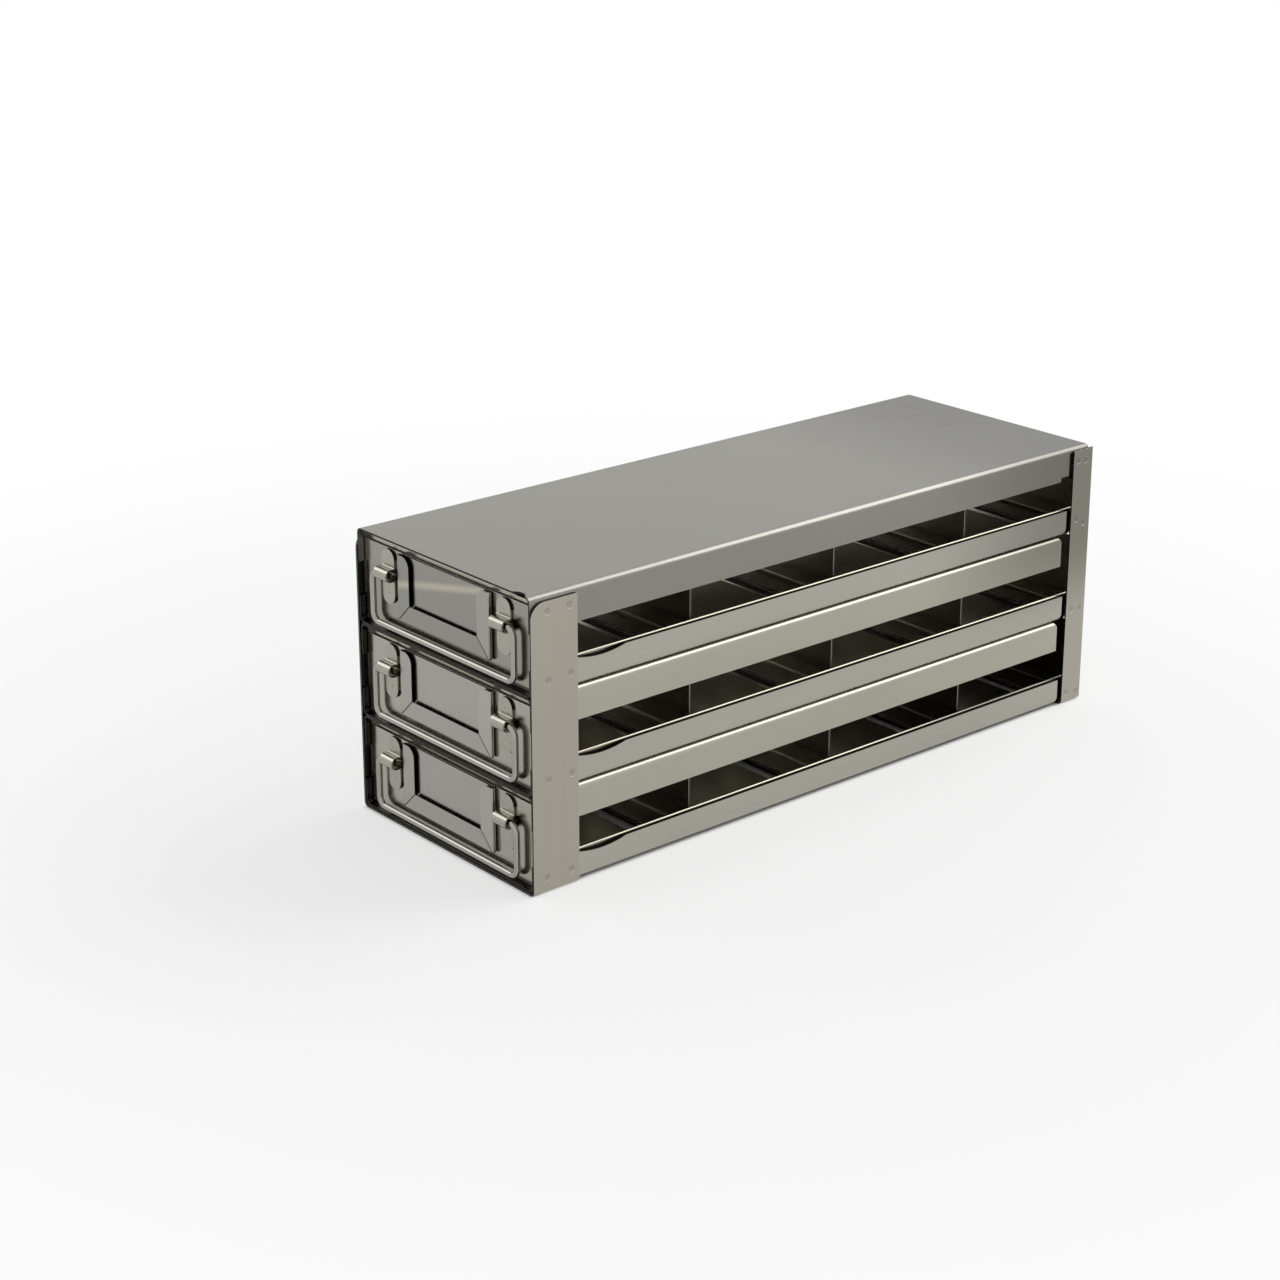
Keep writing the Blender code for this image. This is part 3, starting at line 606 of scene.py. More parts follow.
def sort_faces(mesh):
    """Merge a mesh's doubles and mark its cut edges with the second material."""
    bm = bmesh.new()
    bm.from_mesh(mesh)
    bmesh.ops.remove_doubles(bm, verts=bm.verts, dist=MERGE)
    bmesh.ops.recalc_face_normals(bm, faces=bm.faces)
    tree = BVHTree.FromBMesh(bm)
    for face in bm.faces:
        inward = -face.normal
        start = face.calc_center_median() + inward * MERGE
        distance = tree.ray_cast(start, inward)[3]
        face.material_index = CUT_EDGE if distance and distance > SHEET_LIMIT else 0
    bmesh.ops.dissolve_limit(bm, angle_limit=FLAT_ANGLE, verts=bm.verts, edges=bm.edges,
                             delimit={"MATERIAL"})
    bm.to_mesh(mesh)
    bm.free()


def smooth(piece):
    """Smooth shading across the bends, sharp at the corners."""
    piece.data.shade_smooth()
    piece.data.set_sharp_from_angle(angle=SHARP_ANGLE)
    return piece


def dress(piece, finish, dents=None):
    """Fix a folded piece's shape, press its weld marks in, break its edges, give it steel."""
    plain(piece).data.materials.clear()
    sort_faces(piece.data)
    for name in (finish, "cut_edge_steel", "edge_highlight_steel"):
        piece.data.materials.append(materials[name])
    if dents:
        cut(piece, dents)
        piece.modifiers[-1].material_mode = "TRANSFER"
    bevel = piece.modifiers.new("broken edges", "BEVEL")
    bevel.width = EDGE_BREAK
    bevel.segments = 2
    bevel.limit_method = "ANGLE"
    bevel.angle_limit = BREAK_ANGLE
    bevel.use_clamp_overlap = True
    # The bevel's faces get the lighter steel, a painted highlight.
    bevel.material = EDGE_HIGHLIGHT
    smooth(plain(piece))
    weighted = piece.modifiers.new("flat faces first", "WEIGHTED_NORMAL")
    weighted.keep_sharp = True
    return plain(piece)


def show(piece, node):
    """The piece rides with its node's body and stands for the node."""
    bodies = frame["record"]["behaviour"]["bodies"]
    body = next(name for name, group in bodies.items() if node in group)
    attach(piece, body)
    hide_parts(node)


def stand(pattern, places):
    """Copies of a pattern at their places in the rack, one for each node. The pattern goes."""
    for node, (x, y, z) in places.items():
        mesh = pattern.data.copy()
        mesh.transform(Matrix.Translation((x, FRONT_Y + y, z)))
        show(add_object(node + "_sheet", mesh), node)
    print(len(places), "x", pattern.name, "with", len(pattern.data.polygons), "faces")
    bpy.data.objects.remove(pattern, do_unlink=True)


# %% [markdown]
# ## Spot welds
#
# Spot welds hold the straps to every tray, the brackets to the front panels and the label
# holders too. An electrode leaves a shallow dimple in the steel. The dimples repeat, so
# Geometry Nodes place one flattened ball on each point of a small cloud of points, and the
# result cuts the sheet. A large pair of marks sits beside each tray on both straps; the
# drawers' marks are smaller and fainter.

# %% Weld dimples from Geometry Nodes
STRAP_MARK = (0.0020, 0.00055)
DRAWER_MARK = (0.0012, 0.00025)
MARK_SINK = 0.2
BALL_SEGMENTS = 24
BALL_RINGS = 10
ACROSS_X = (0.0, math.pi / 2, 0.0)
ACROSS_Y = (math.pi / 2, 0.0, 0.0)


def new_tree(name, inputs):
    """A geometry tree with named inputs and one output, and its input node."""
    tree = bpy.data.node_groups.new(name, "GeometryNodeTree")
    for label, kind, value in [*inputs, ("Finish", "NodeSocketMaterial", None)]:
        socket = tree.interface.new_socket(label, in_out="INPUT", socket_type=kind)
        if value is not None:
            socket.default_value = value
    tree.interface.new_socket("Result", in_out="OUTPUT", socket_type="NodeSocketGeometry")
    return tree, tree.nodes.new("NodeGroupInput")


def join(tree, rows):
    """Link sockets: each row holds a node, its output, the next node and its input."""
    for source, output, target, label in rows:
        tree.links.new(source.outputs[output], target.inputs[label])


def end_tree(tree, given, last, output):
    """Make the last node's geometry real, set its material and send it out."""
    real = tree.nodes.new("GeometryNodeRealizeInstances")
    paint = tree.nodes.new("GeometryNodeSetMaterial")
    result = tree.nodes.new("NodeGroupOutput")
    join(tree, [(last, output, real, "Geometry"), (real, "Geometry", paint, "Geometry"),
                (given, "Finish", paint, "Material"), (paint, "Geometry", result, "Result")])
    return tree


def grow(thing, tree, finish, **values):
    """Run a tree on an object with the given inputs, and keep the mesh that it makes."""
    sockets = {item.name: item.identifier for item in tree.interface.items_tree}
    modifier = thing.modifiers.new(tree.name, "NODES")
    modifier.node_group = tree
    modifier[sockets["Finish"]] = materials[finish]
    for name, value in values.items():
        modifier[sockets[name]] = value
    return plain(thing)


def dimple_tree():
    """A flattened ball on every vertex, lying across the axis that Turn gives."""
    tree, given = new_tree("weld dimples", [
        ("Points", "NodeSocketGeometry", None), ("Radius", "NodeSocketFloat", STRAP_MARK[0]),
        ("Depth", "NodeSocketFloat", STRAP_MARK[1]), ("Turn", "NodeSocketVector", ACROSS_X)])
    ball = tree.nodes.new("GeometryNodeMeshUVSphere")
    ball.inputs["Segments"].default_value = BALL_SEGMENTS
    ball.inputs["Rings"].default_value = BALL_RINGS
    ball.inputs["Radius"].default_value = 1.0
    size = tree.nodes.new("ShaderNodeCombineXYZ")
    place = tree.nodes.new("GeometryNodeInstanceOnPoints")
    join(tree, [(given, "Radius", size, "X"), (given, "Radius", size, "Y"),
                (given, "Depth", size, "Z"), (given, "Points", place, "Points"),
                (ball, "Mesh", place, "Instance"), (given, "Turn", place, "Rotation"),
                (size, "Vector", place, "Scale")])
    return end_tree(tree, given, place, "Instances")


dimples = dimple_tree()


def weld_tool(name, points, mark, turn, finish):
    """Dimples at the points, as a tool that presses them into a sheet."""
    mesh = bpy.data.meshes.new(name)
    mesh.from_pydata(points, [], [])
    return grow(add_object(name, mesh), dimples, finish, Radius=mark[0], Depth=mark[1], Turn=turn)


# %% [markdown]
# ## The two straps
#
# The straps hold the rack together: a broad one round the front and a narrow one round the
# rear, each a single band that runs up one side, under the lowest tray and up the other.
# One path with two round corners gives the band, and its width is the curve's extrusion.
# The front strap's upper front corners are round, which is one cutter across the rack.

# %% The straps
FRONT_WELDS = ((9.9, 141.6), (23.1, 141.9), (10.3, 107.4), (23.6, 108.2),
               (9.9, 57.9), (23.7, 57.8), (8.3, 8.6), (22.9, 8.5))
REAR_WELDS = ((3.7, 142.3), (9.5, 141.7), (4.1, 108.8), (10.1, 105.8),
              (4.5, 56.3), (11.3, 55.3), (3.7, 7.0), (12.2, 5.8))


def make_strap(name, width, top, corner):
    """One band: up the right side, under the trays and up the left side."""
    half = (RACK_WIDTH - FRAME_SHEET) / 2
    low = FRAME_SHEET / 2
    path = filleted([(-half, top), (-half, low), (half, low), (half, top)],
                    [0, FRAME_BEND + low, FRAME_BEND + low, 0])
    strap = bent_sheet(name, path, ALONG, width, FRAME_SHEET)
    strap.data.transform(Matrix.Translation((0, width / 2, 0)))
    if corner:
        past = top + OVERCUT
        outline = arc((corner, top - corner), corner, 180, 90) + [
            (corner, past), (-OVERCUT, past), (-OVERCUT, top - corner)]
        cut(strap, cutter(name + "_corner", [prism(outline, ACROSS, -RACK_WIDTH, RACK_WIDTH)]))
    return strap


def strap_tool(name, welds):
    out = RACK_WIDTH / 2 + MARK_SINK * STRAP_MARK[1]
    points = [(side * out, y / MM_PER_METRE, z / MM_PER_METRE)
              for side in (-1, 1) for y, z in welds]
    return weld_tool(name, points, STRAP_MARK, ACROSS_X, "weld_steel")


strap = make_strap("front strap", FRONT_STRAP, RACK_TOP - FRONT_STRAP_DROP, STRAP_CORNER)
stand(dress(strap, "strap_steel", strap_tool("front welds", FRONT_WELDS)),
      {"front_strap": (0, 0, 0)})
strap = make_strap("rear strap", REAR_STRAP, RACK_TOP - REAR_STRAP_DROP, 0)
stand(dress(strap, "strap_steel", strap_tool("rear welds", REAR_WELDS)),
      {"rear_strap": (0, STRAP_REAR_FRONT, 0)})

# %% [markdown]
# ## Trays, channels and the top plate
#
# Each drawer stands on a tray and slides under an upside-down channel, and the highest under
# the top plate. All of them are one sheet with the sides folded, so one function bevels the
# edges of an open box: the bevel is the fold. The slots, the shallow dip behind the front
# strap and the slits beside the rear strap are cut afterwards.

# %% Trays
TRAY_FLANGE = 0.0140
SCALLOP_LENGTH = 0.0300
SCALLOP_DEPTH = 0.0020
END_RELIEF = 0.0025
FLANGE_CORNER = 0.0045
SLOT_WIDTH = 0.0085
SLOT_MARGIN = 0.0162
FLANGE_END = STRAP_REAR_FRONT - END_RELIEF
SLOT_FRONTS = [face - FOOT_LENGTH - SLOT_WIDTH for face in DIVIDER_FACES + [REAR_WALL_FACE]]
SLOT_HALF = PAN_HALF - SLOT_MARGIN


def floor_slots():
    """Round-ended slots across a floor, one in front of each upright wall."""
    radius = SLOT_WIDTH / 2
    reach = SLOT_HALF - radius
    slots = []
    for front in SLOT_FRONTS:
        middle = front + radius
        outline = arc((reach, middle), radius, -90, 90) + arc((-reach, middle), radius, 90, 270)
        slots.append(prism(outline, FLAT, -OVERCUT, OVERCUT))
    return slots


def side_relief(base, top, corner):
    """The slit that parts a tray's flange from its rear tab, with the flange's round corner."""
    return arc((FLANGE_END - corner, base + corner), corner, 0, -90) + [
        (FLANGE_END - corner, base - OVERCUT), (STRAP_REAR_FRONT, base - OVERCUT),
        (STRAP_REAR_FRONT, top + OVERCUT), (FLANGE_END, top + OVERCUT)]


def make_tray(name):
    """A tray's web with low side flanges, a rear wall and tabs under the rear strap."""
    tray = folded_box(name, (-HALF_FRAME, EDGE_SETBACK, 0), (HALF_FRAME, TRAY_REAR, TRAY_FLANGE),
                      [(1, -1), (2, 1)], FRAME_FOLD, FRAME_SHEET)
    inner = HALF_FRAME - FRAME_FOLD - SEAT
    outer = HALF_FRAME + OVERCUT
    relief = side_relief(0, TRAY_FLANGE, FLANGE_CORNER)
    cut(tray, cutter(name + "_reliefs", mirrored_prisms(relief, inner, outer)))
    scallop = bow(FRONT_STRAP + SEAT + SCALLOP_LENGTH / 2, TRAY_FLANGE,
                  SCALLOP_LENGTH, SCALLOP_DEPTH, 1)
    cut(tray, cutter(name + "_scallops", mirrored_prisms(scallop, inner, outer)))
    cut(tray, cutter(name + "_slots", floor_slots()))
    return tray


stand(dress(make_tray("tray"), "tray_steel"),
      {name + "_tray": (0, 0, base) for name, base in zip(LEVEL_NAMES, TRAY_BASES)})

# %% Channels
CHANNEL_FLANGE = 0.0170
CHANNEL_SETBACK = 0.0006
CHANNEL_END_GAP = 0.0055
CHANNEL_CORNER = 0.0040
CHANNEL_END = STRAP_REAR_FRONT - CHANNEL_END_GAP


def make_channel(name):
    """The upside-down channel under a tray: it roofs the drawer below."""
    channel = folded_box(name, (-HALF_FRAME, CHANNEL_SETBACK, -CHANNEL_FLANGE),
                         (HALF_FRAME, CHANNEL_END, 0), [(1, -1), (1, 1), (2, -1)],
                         FRAME_FOLD, FRAME_SHEET)
    inner = HALF_FRAME - FRAME_FOLD - SEAT
    outer = HALF_FRAME + OVERCUT
    past = CHANNEL_END + OVERCUT
    corner = arc((CHANNEL_END - CHANNEL_CORNER, -CHANNEL_CORNER), CHANNEL_CORNER, 90, 0) + [
        (past, -CHANNEL_CORNER), (past, OVERCUT), (CHANNEL_END - CHANNEL_CORNER, OVERCUT)]
    cut(channel, cutter(name + "_corners", mirrored_prisms(corner, inner, outer)))
    cut(channel, cutter(name + "_slots", floor_slots()))
    return channel


stand(dress(make_channel("channel"), "channel_steel"),
      {name + "_channel": (0, 0, base - SEAT) for name, base in zip(LEVEL_NAMES, TRAY_BASES[1:])})

# %% The top plate
LID_FLANGE = 0.0178
LID_STEP_LENGTH = 0.0061
LID_STEP_HEIGHT = 0.0024
LID_NOTCH_LENGTH = 0.0098
LID_NOTCH_DEPTH = 0.0026


def make_top_plate():
    """The lid: its flanges hang down at the sides and the rear, and a step ends each side."""
    base = RACK_TOP - LID_FLANGE
    lid = folded_box("top_plate", (-HALF_FRAME, EDGE_SETBACK, base),
                     (HALF_FRAME, TRAY_REAR, RACK_TOP), [(1, -1), (2, -1)],
                     FRAME_FOLD, FRAME_SHEET)
    inner = HALF_FRAME - FRAME_FOLD - SEAT
    outer = HALF_FRAME + OVERCUT
    step = FLANGE_END - LID_STEP_LENGTH
    fold_end = RACK_TOP - FRAME_FOLD
    relief = [(step, base - OVERCUT), (STRAP_REAR_FRONT, base - OVERCUT),
              (STRAP_REAR_FRONT, fold_end), (FLANGE_END, fold_end),
              (FLANGE_END, base + LID_STEP_HEIGHT), (step, base + LID_STEP_HEIGHT)]
    cut(lid, cutter("top_plate_reliefs", mirrored_prisms(relief, inner, outer)))
    notch = bow(HALF_FRAME - FRAME_FOLD - LID_NOTCH_LENGTH / 2, EDGE_SETBACK, LID_NOTCH_LENGTH,
                LID_NOTCH_DEPTH, -1)
    cut(lid, cutter("top_plate_notch", [prism(notch, FLAT, fold_end, RACK_TOP + OVERCUT)]))
    return lid


stand(dress(make_top_plate(), "top_plate_steel"), {"top_plate": (0, 0, 0)})

# %% [markdown]
# ## The drawers
#
# A drawer is a pan with hemmed sides, a flat plate welded in front of it, and upright sheets
# on feet that divide it. A hem is a fold of half a turn with the sheet lying back on itself;
# `fold_on` extrudes a free edge along such a path, step by step, as a press brake would.
# Everything here is made once, and every drawer gets its own copy.

# %% Pans, fronts and dividers
WALL_RISE = 0.0006
WALL_HEM = 0.0040
HEM_GAP = 0.0003
PANEL_CORNER = 0.0030
DIVIDER_DROP = 0.0009
FOOT_BEND = 0.0016
WALL_HEIGHT = TRAY_FLANGE - FRAME_SHEET - SEAT + WALL_RISE
HEM_RADIUS = (HEM_GAP + DRAWER_SHEET) / 2
UPRIGHT_HALF = PAN_HALF - 2 * DRAWER_SHEET - HEM_GAP - SEAT
UPRIGHT_TOP = FRONT_WALL_TOP - DIVIDER_DROP
FLOORS = {name: base + FRAME_SHEET + SEAT for name, base in zip(LEVEL_NAMES, TRAY_BASES)}


def make_pan():
    """The drawer's pan: a tall front wall, low hemmed sides, a low rear tab, open corners."""
    side = PAN_HALF - DRAWER_SHEET / 2
    rise = HEM_RADIUS + DRAWER_SHEET / 2
    crest = WALL_HEIGHT - rise
    pan = folded_box("drawer_pan", (-PAN_HALF, PAN_FRONT, 0), (PAN_HALF, PAN_REAR, crest),
                     [(2, 1)], DRAWER_BEND + DRAWER_SHEET, DRAWER_SHEET)
    hem = arc((HEM_RADIUS, 0), HEM_RADIUS, 180, 0) + [(2 * HEM_RADIUS, rise - WALL_HEM)]
    fold_on(pan, (side, PAN_FRONT, crest), (side, PAN_REAR, crest), hem, (-1, 0, 0), (0, 0, 1))
    fold_on(pan, (-side, PAN_FRONT, crest), (-side, PAN_REAR, crest), hem, (1, 0, 0), (0, 0, 1))
    for end, height in ((PAN_FRONT + DRAWER_SHEET / 2, FRONT_WALL_TOP),
                        (PAN_REAR - DRAWER_SHEET / 2, WALL_HEIGHT)):
        fold_on(pan, (-side, end, crest), (side, end, crest), [(0, 0), (0, height - crest)],
                (0, 1, 0), (0, 0, 1))
    notch = DRAWER_BEND + 2 * DRAWER_SHEET + HEM_GAP + SEAT
    past = FRONT_WALL_TOP + OVERCUT
    corners = []
    for start in (PAN_FRONT - OVERCUT, PAN_REAR - notch):
        end = start + OVERCUT + notch
        square = [(start, -OVERCUT), (end, -OVERCUT), (end, past), (start, past)]
        corners += mirrored_prisms(square, PAN_HALF - notch, PAN_HALF + OVERCUT)
    cut(pan, cutter("drawer_pan_corners", corners))
    cut(pan, cutter("drawer_pan_slots", floor_slots()))
    return pan


def make_upright(name):
    """A divider or the rear wall: a sheet upright on its foot, which points forwards."""
    middle = DRAWER_SHEET / 2
    base = DRAWER_SHEET + SEAT + middle
    path = filleted([(-FOOT_LENGTH, base), (middle, base), (middle, UPRIGHT_TOP)],
                    [0, FOOT_BEND + middle, 0])
    return bent_sheet(name, path, ACROSS, 2 * UPRIGHT_HALF, DRAWER_SHEET)


def make_front_panel():
    """The plate in front of the pan's front wall, with round lower corners."""
    outline = filleted([(-PANEL_HALF, 0), (PANEL_HALF, 0), (PANEL_HALF, PANEL_HEIGHT),
                        (-PANEL_HALF, PANEL_HEIGHT)],
                       [PANEL_CORNER, PANEL_CORNER, 0, 0], closed=True, steps=ARC_STEPS)
    plate = prism(outline, ALONG, PANEL_RECESS, PANEL_RECESS + DRAWER_SHEET)
    return add_object("front_panel", plate)


def in_drawers(ending, x=0.0, y=0.0):
    """The place of one piece in each drawer."""
    return {name + ending: (x, y, floor) for name, floor in FLOORS.items()}


stand(dress(make_pan(), "pan_steel"), in_drawers("_drawer_pan"))
stand(dress(make_front_panel(), "front_panel_steel"), in_drawers("_front_panel"))
dividers = {}
for number, face in enumerate(DIVIDER_FACES, 1):
    dividers.update(in_drawers(f"_divider_{number}", y=face))
stand(dress(make_upright("divider"), "divider_steel"), dividers)
stand(dress(make_upright("rear wall"), "rear_wall_steel"),
      in_drawers("_rear_wall", y=REAR_WALL_FACE))

# %% [markdown]
# ## Label holders and handle brackets
#
# The label holder is a shallow pocket: a folded box with its top open and a window cut into
# its front, whose lips meet in mitres. The front face of its right stile gets a lighter steel
# of its own: painted light, as if the stile leaned to the light. The bracket is a strip bent
# over the handle's end: two flat leaves and a half-round tunnel between them. Its rounded
# outline is one blank that the bent strip is intersected with, so that the ends stay round
# however it is bent.

# %% Label holders
ROD_RADIUS = 0.0016
ROD_BEND = 0.0045
LEG_GAP = 0.0033
HANDLE_MARGIN = 0.0088
BRACKET_WIDTH = 0.0105
BRACKET_GAP = 0.0043
LABEL_BOTTOM = 0.0080
LABEL_SHEET = 0.0005
LABEL_STRIP = 0.0095
LABEL_STRIP_CORNER = 0.0055
LABEL_BEND = 0.0003
CARD_POCKET = 0.0013
MITRE_GAP = 0.0005
LABEL_WELDS = ((-18.7, 23.4), (17.4, 26.1))
LEG_X = PANEL_HALF - HANDLE_MARGIN - ROD_RADIUS
BRACKET_X = LEG_X - ROD_RADIUS - LEG_GAP - BRACKET_WIDTH / 2
LABEL_HALF = BRACKET_X - BRACKET_WIDTH / 2 - BRACKET_GAP
LABEL_TOP = PANEL_HEIGHT - SEAT


def make_label_holder():
    """A pocket folded from one sheet: its lips meet in mitres and its top is open."""
    rear = PANEL_RECESS - SEAT
    front = rear - CARD_POCKET - 2 * LABEL_SHEET
    holder = folded_box("label_holder", (-LABEL_HALF, front, LABEL_BOTTOM),
                        (LABEL_HALF, rear, LABEL_TOP), [(2, 1)],
                        LABEL_BEND + LABEL_SHEET, LABEL_SHEET)
    half = LABEL_HALF - LABEL_STRIP
    low = LABEL_BOTTOM + LABEL_STRIP
    round_low = LABEL_TOP - LABEL_STRIP_CORNER
    right = arc((half + LABEL_STRIP_CORNER, round_low), LABEL_STRIP_CORNER, 180, 90)
    right.append((half + LABEL_STRIP_CORNER, LABEL_TOP + OVERCUT))
    left = [(-u, v) for u, v in reversed(right)]
    window = [(-half, low), (half, low)] + right + left
    pocket_middle = front + LABEL_SHEET + CARD_POCKET / 2
    cut(holder, cutter("label_window", [prism(window, ALONG, front - OVERCUT, pocket_middle)]))
    across = MITRE_GAP / 2 / math.sqrt(2)
    reach = LABEL_STRIP + OVERCUT
    mitres = []
    for side in (-1, 1):
        slit = [(side * (half - OVERCUT - across), low + OVERCUT - across),
                (side * (half - OVERCUT + across), low + OVERCUT + across),
                (side * (half + reach + across), low - reach + across),
                (side * (half + reach - across), low - reach - across)]
        mitres.append(prism(slit, ALONG, front - OVERCUT, pocket_middle))
    cut(holder, cutter("label_mitres", mitres))
    return holder


def drawer_tool(name, points, sheet, finish):
    """Small dimples at (x, z) points in millimetres on a sheet that lies on the front panel."""
    y = PANEL_RECESS - SEAT - sheet - MARK_SINK * DRAWER_MARK[1]
    places = [(x / MM_PER_METRE, y, z / MM_PER_METRE) for x, z in points]
    return weld_tool(name, places, DRAWER_MARK, ACROSS_Y, finish)


def paint_stile_light(holder):
    """Paint the front face of the right stile lighter, with a steel of its own: painted light."""
    holder.data.materials.append(materials["stile_painted_light_steel"])
    painted_light_index = len(holder.data.materials) - 1
    for face in holder.data.polygons:
        on_stile = face.normal.y < -0.9 and face.center.x > LABEL_HALF - LABEL_STRIP
        if on_stile and face.material_index == 0:
            face.material_index = painted_light_index


label_holder = dress(make_label_holder(), "label_holder_steel",
                     drawer_tool("label welds", LABEL_WELDS, LABEL_SHEET, "label_holder_steel"))
paint_stile_light(label_holder)
stand(label_holder, in_drawers("_label_holder"))

# %% Handle brackets
TUNNEL_CLEARANCE = 0.0008
BRACKET_SHEET = 0.0009
BRACKET_ABOVE = 0.0124
BRACKET_BELOW = 0.0158
BRACKET_CORNER = 0.0050
BRACKET_FLARE = 0.0011
LEAF_WELDS = ((0.0, 19.6), (0.0, 35.8))
TUNNEL_RADIUS = ROD_RADIUS + TUNNEL_CLEARANCE + BRACKET_SHEET / 2
HANDLE_BOX = [Vector(corner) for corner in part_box("bottom_handle")]
AXIS_Y = (HANDLE_BOX[0].y + HANDLE_BOX[1].y) / 2 - FRONT_Y
AXIS_HEIGHT = HANDLE_BOX[1].z - ROD_RADIUS - FLOORS["bottom"]
TUNNEL_FRONT = AXIS_Y - TUNNEL_RADIUS - BRACKET_SHEET / 2


def make_bracket():
    """A strap over the handle's end: two flat leaves and a half-round tunnel between them."""
    leaf = PANEL_RECESS - SEAT - BRACKET_SHEET / 2
    crown = AXIS_Y - TUNNEL_RADIUS
    low = AXIS_HEIGHT - TUNNEL_RADIUS
    high = AXIS_HEIGHT + TUNNEL_RADIUS
    bottom = AXIS_HEIGHT - BRACKET_BELOW
    top = AXIS_HEIGHT + BRACKET_ABOVE
    path = filleted([(leaf, bottom), (leaf, low), (crown, low),
                     (crown, high), (leaf, high), (leaf, top)],
                    [0, BRACKET_FLARE, TUNNEL_RADIUS, TUNNEL_RADIUS, BRACKET_FLARE, 0],
                    steps=ARC_STEPS)
    bracket = bent_sheet("bracket", path, ACROSS, BRACKET_WIDTH, BRACKET_SHEET)
    half = BRACKET_WIDTH / 2
    outline = filleted([(-half, bottom), (half, bottom), (half, top), (-half, top)],
                       [BRACKET_CORNER] * 4, closed=True, steps=ARC_STEPS)
    blank = cutter("bracket_outline", [prism(outline, ALONG, TUNNEL_FRONT - OVERCUT,
                                             PANEL_RECESS + OVERCUT)])
    cut(bracket, blank, "INTERSECT")
    return bracket


for side, x in (("_left_bracket", -BRACKET_X), ("_right_bracket", BRACKET_X)):
    leaf_tool = drawer_tool("leaf welds", LEAF_WELDS, BRACKET_SHEET, "bracket_steel")
    stand(dress(make_bracket(), "bracket_steel", leaf_tool), in_drawers(side, x=x))

# %% [markdown]
# ## The wire handles
#
# Each handle is one round wire, bent four times, whose ends turn in the tunnels of two
# brackets. A wire that follows a path is the plainest use of Geometry Nodes: round the
# corners of a poly line, sweep a circle along it, and close the ends. The measurements come
# from the solid's own box, so the wire lies exactly where the solid is.

# %% Wire handles from Geometry Nodes
WIRE_END = BRACKET_X - BRACKET_WIDTH / 2 + BRACKET_SHEET
WIRE_BEND_STEPS = 10
WIRE_SIDES = 28


def wire_tree():
    """A round wire along a poly line, with its corners rounded."""
    tree, given = new_tree("bent wire", [
        ("Path", "NodeSocketGeometry", None), ("Rod", "NodeSocketFloat", ROD_RADIUS),
        ("Bend", "NodeSocketFloat", ROD_BEND)])
    curve = tree.nodes.new("GeometryNodeMeshToCurve")
    fillet = tree.nodes.new("GeometryNodeFilletCurve")
    fillet.mode = "POLY"
    fillet.inputs["Count"].default_value = WIRE_BEND_STEPS
    profile = tree.nodes.new("GeometryNodeCurvePrimitiveCircle")
    profile.inputs["Resolution"].default_value = WIRE_SIDES
    sweep = tree.nodes.new("GeometryNodeCurveToMesh")
    sweep.inputs["Fill Caps"].default_value = True
    join(tree, [(given, "Path", curve, "Mesh"), (curve, "Curve", fillet, "Curve"),
                (given, "Bend", fillet, "Radius"), (given, "Rod", profile, "Radius"),
                (fillet, "Curve", sweep, "Curve"), (profile, "Curve", sweep, "Profile Curve")])
    return end_tree(tree, given, sweep, "Mesh")


wires = wire_tree()
handles = [name + "_handle" for name in LEVEL_NAMES]
for node in handles:
    low, high = [Vector(corner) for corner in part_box(node)]
    leg = high.x - ROD_RADIUS
    axis_y = (low.y + high.y) / 2
    top = high.z - ROD_RADIUS
    bar = low.z + ROD_RADIUS
    corners = [(-WIRE_END, axis_y, top), (-leg, axis_y, top), (-leg, axis_y, bar),
               (leg, axis_y, bar), (leg, axis_y, top), (WIRE_END, axis_y, top)]
    mesh = bpy.data.meshes.new(node + "_wire")
    mesh.from_pydata(corners, [(i, i + 1) for i in range(len(corners) - 1)], [])
    wire = add_object(node + "_wire", mesh)
    show(smooth(grow(wire, wires, "wire_steel", Rod=ROD_RADIUS, Bend=ROD_BEND)), node)
print(len(handles), "handles, each with", len(wire.data.polygons), "faces")

# %% [markdown]
# ## Floor, light and background
#
# Steel is drawn by what it mirrors. The background is white to the camera and to
# reflections, the floor is pale, and the lamps are large and soft. One lamp stands high
# behind the rack on the right, where the rounded folds mirror it as bright lines. A weak one
# on the left draws the streaks on the handles. Under the rack the paper stays dark even to
# mirrors, so that the undersides don't glow.

# %% The floor
WHITE_NEAR = 0.62
WHITE_FAR = 1.0
WHITE_FROM = (0.25, 0.75)
RACK_SHADOW_EDGE = 0.004
PAPER_COLOUR = (0.86, 0.86, 0.86, 1.0)
PAPER_ROUGHNESS = 0.9
WHITE = (1.0, 1.0, 1.0, 1.0)
FLOOR_HALF = 4


def seen_rays(start):
    """1 for rays from the camera, from a mirror-like surface or through glass, else 0."""
    rays = start.make("ShaderNodeLightPath", output=0)
    others = [Wire(rays.tree, rays.socket.node.outputs[name])
              for name in ("Is Glossy Ray", "Is Transmission Ray")]
    return (rays + others[0] + others[1]).between(0.0, 1.0)


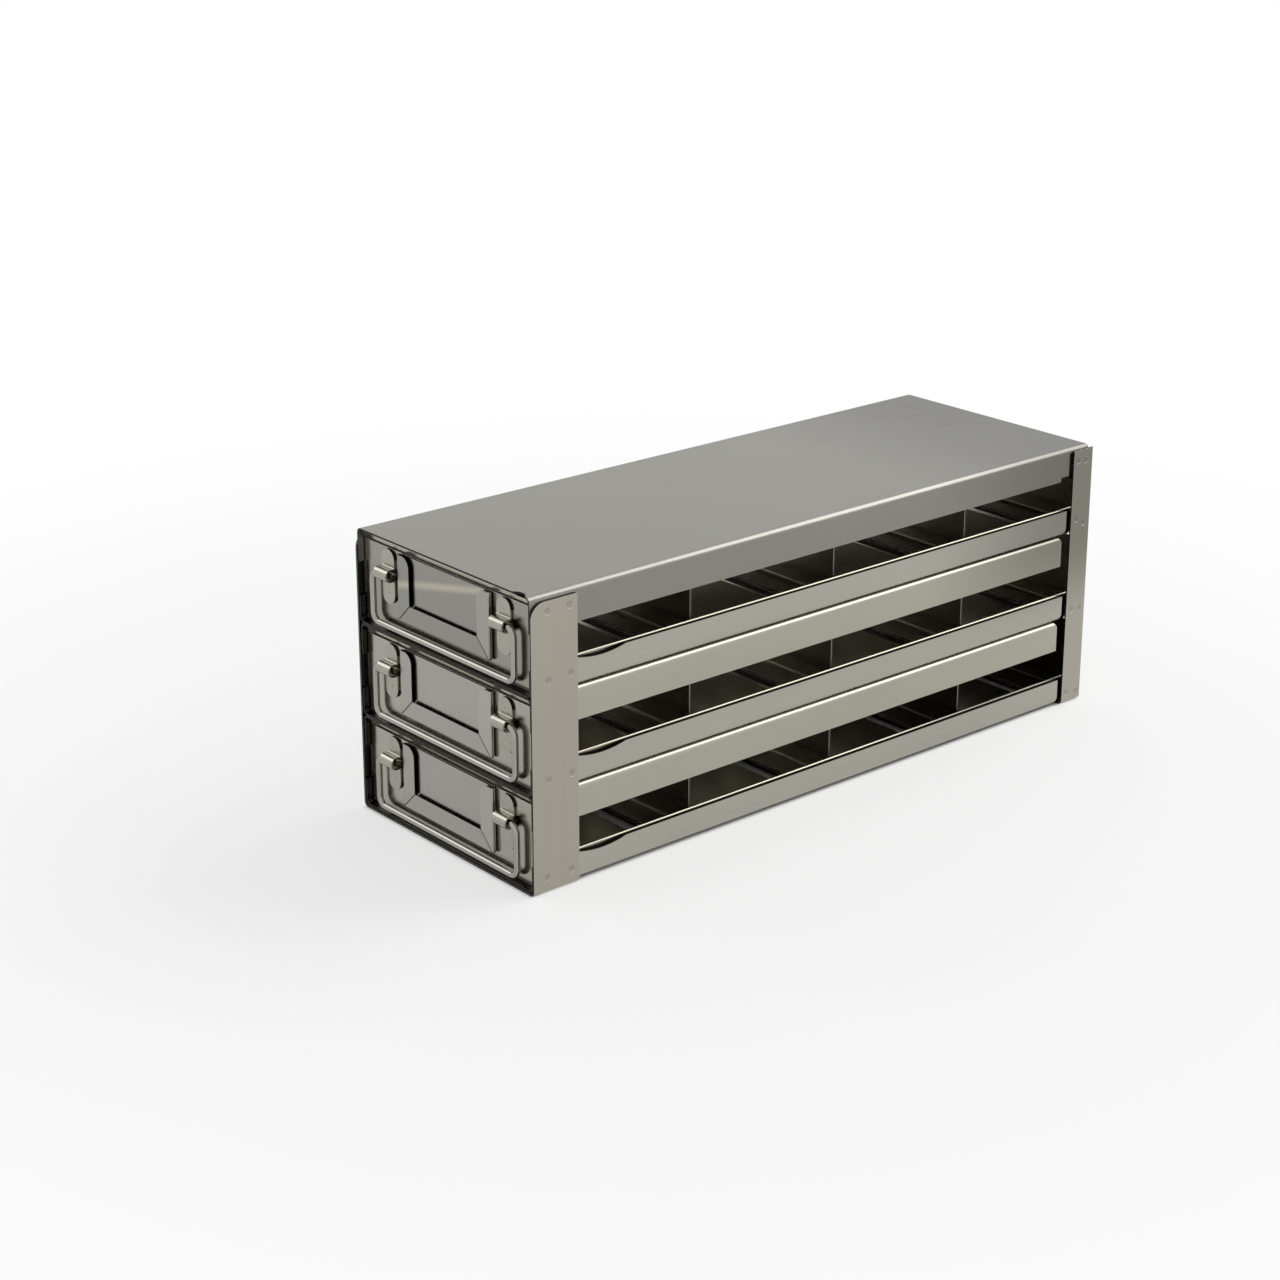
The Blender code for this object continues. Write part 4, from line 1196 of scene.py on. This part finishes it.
def floor_paper():
    """White paper: it shows its shadows near the rack and runs out into plain white."""
    material, start = new_material("floor_paper")
    place = start.make("ShaderNodeTexCoord", output=OBJECT_PLACE)
    distance = start.make("ShaderNodeVectorMath", {"operation": "LENGTH"}, {0: place}, output=1)
    white = WHITE_NEAR + (WHITE_FAR - WHITE_NEAR) * distance.between(*WHITE_FROM)
    beside = [abs(axis).between(edge - RACK_SHADOW_EDGE, edge)
              for axis, edge in zip(place.axes(), cad_box[1][:2])]
    white = white * start.maths("MAXIMUM", *beside)
    paper = start.make("ShaderNodeBsdfPrincipled", None,
                       {"Base Color": PAPER_COLOUR, "Roughness": PAPER_ROUGHNESS})
    glow = start.make("ShaderNodeEmission", None, {"Color": WHITE, "Strength": 1.0})
    both = start.make("ShaderNodeMixShader", None,
                      {0: seen_rays(start) * white, 1: paper, 2: glow})
    both.finish("ShaderNodeOutputMaterial")
    return material


floor_mesh = bpy.data.meshes.new("floor")
floor_corners = [(-1, -1), (1, -1), (1, 1), (-1, 1)]
floor_mesh.from_pydata([(x * FLOOR_HALF, y * FLOOR_HALF, 0) for x, y in floor_corners], [],
                       [range(len(floor_corners))])
floor = add_object("floor", floor_mesh)
floor_mesh.materials.append(floor_paper())

# %% The world and the lamps
SKY_LIGHT = 0.6
LAMP_AIM = Vector((0.0, 0.0, 0.07))
world = bpy.data.worlds.new("studio")
scene.world = world
world.use_nodes = True
world.node_tree.nodes.clear()
start = Wire(world.node_tree)
strength = SKY_LIGHT + (1.0 - SKY_LIGHT) * seen_rays(start)
sky = start.make("ShaderNodeBackground", None, {"Color": WHITE, "Strength": strength})
sky.finish("ShaderNodeOutputWorld")


def lamp(name, place, size, power):
    data = bpy.data.lights.new(name, "AREA")
    data.shape = "RECTANGLE"
    data.size, data.size_y = size
    data.energy = power
    thing = add_object(name, data)
    thing.location = place
    thing.rotation_euler = (Vector(place) - LAMP_AIM).to_track_quat("Z", "Y").to_euler()


lamp("fold_lamp", (0.55, 1.80, 1.65), (2.2, 1.5), 34.0)
lamp("streak_lamp", (-1.60, -0.92, 1.18), (0.9, 0.7), 3.0)

scene.view_settings.view_transform = "Standard"
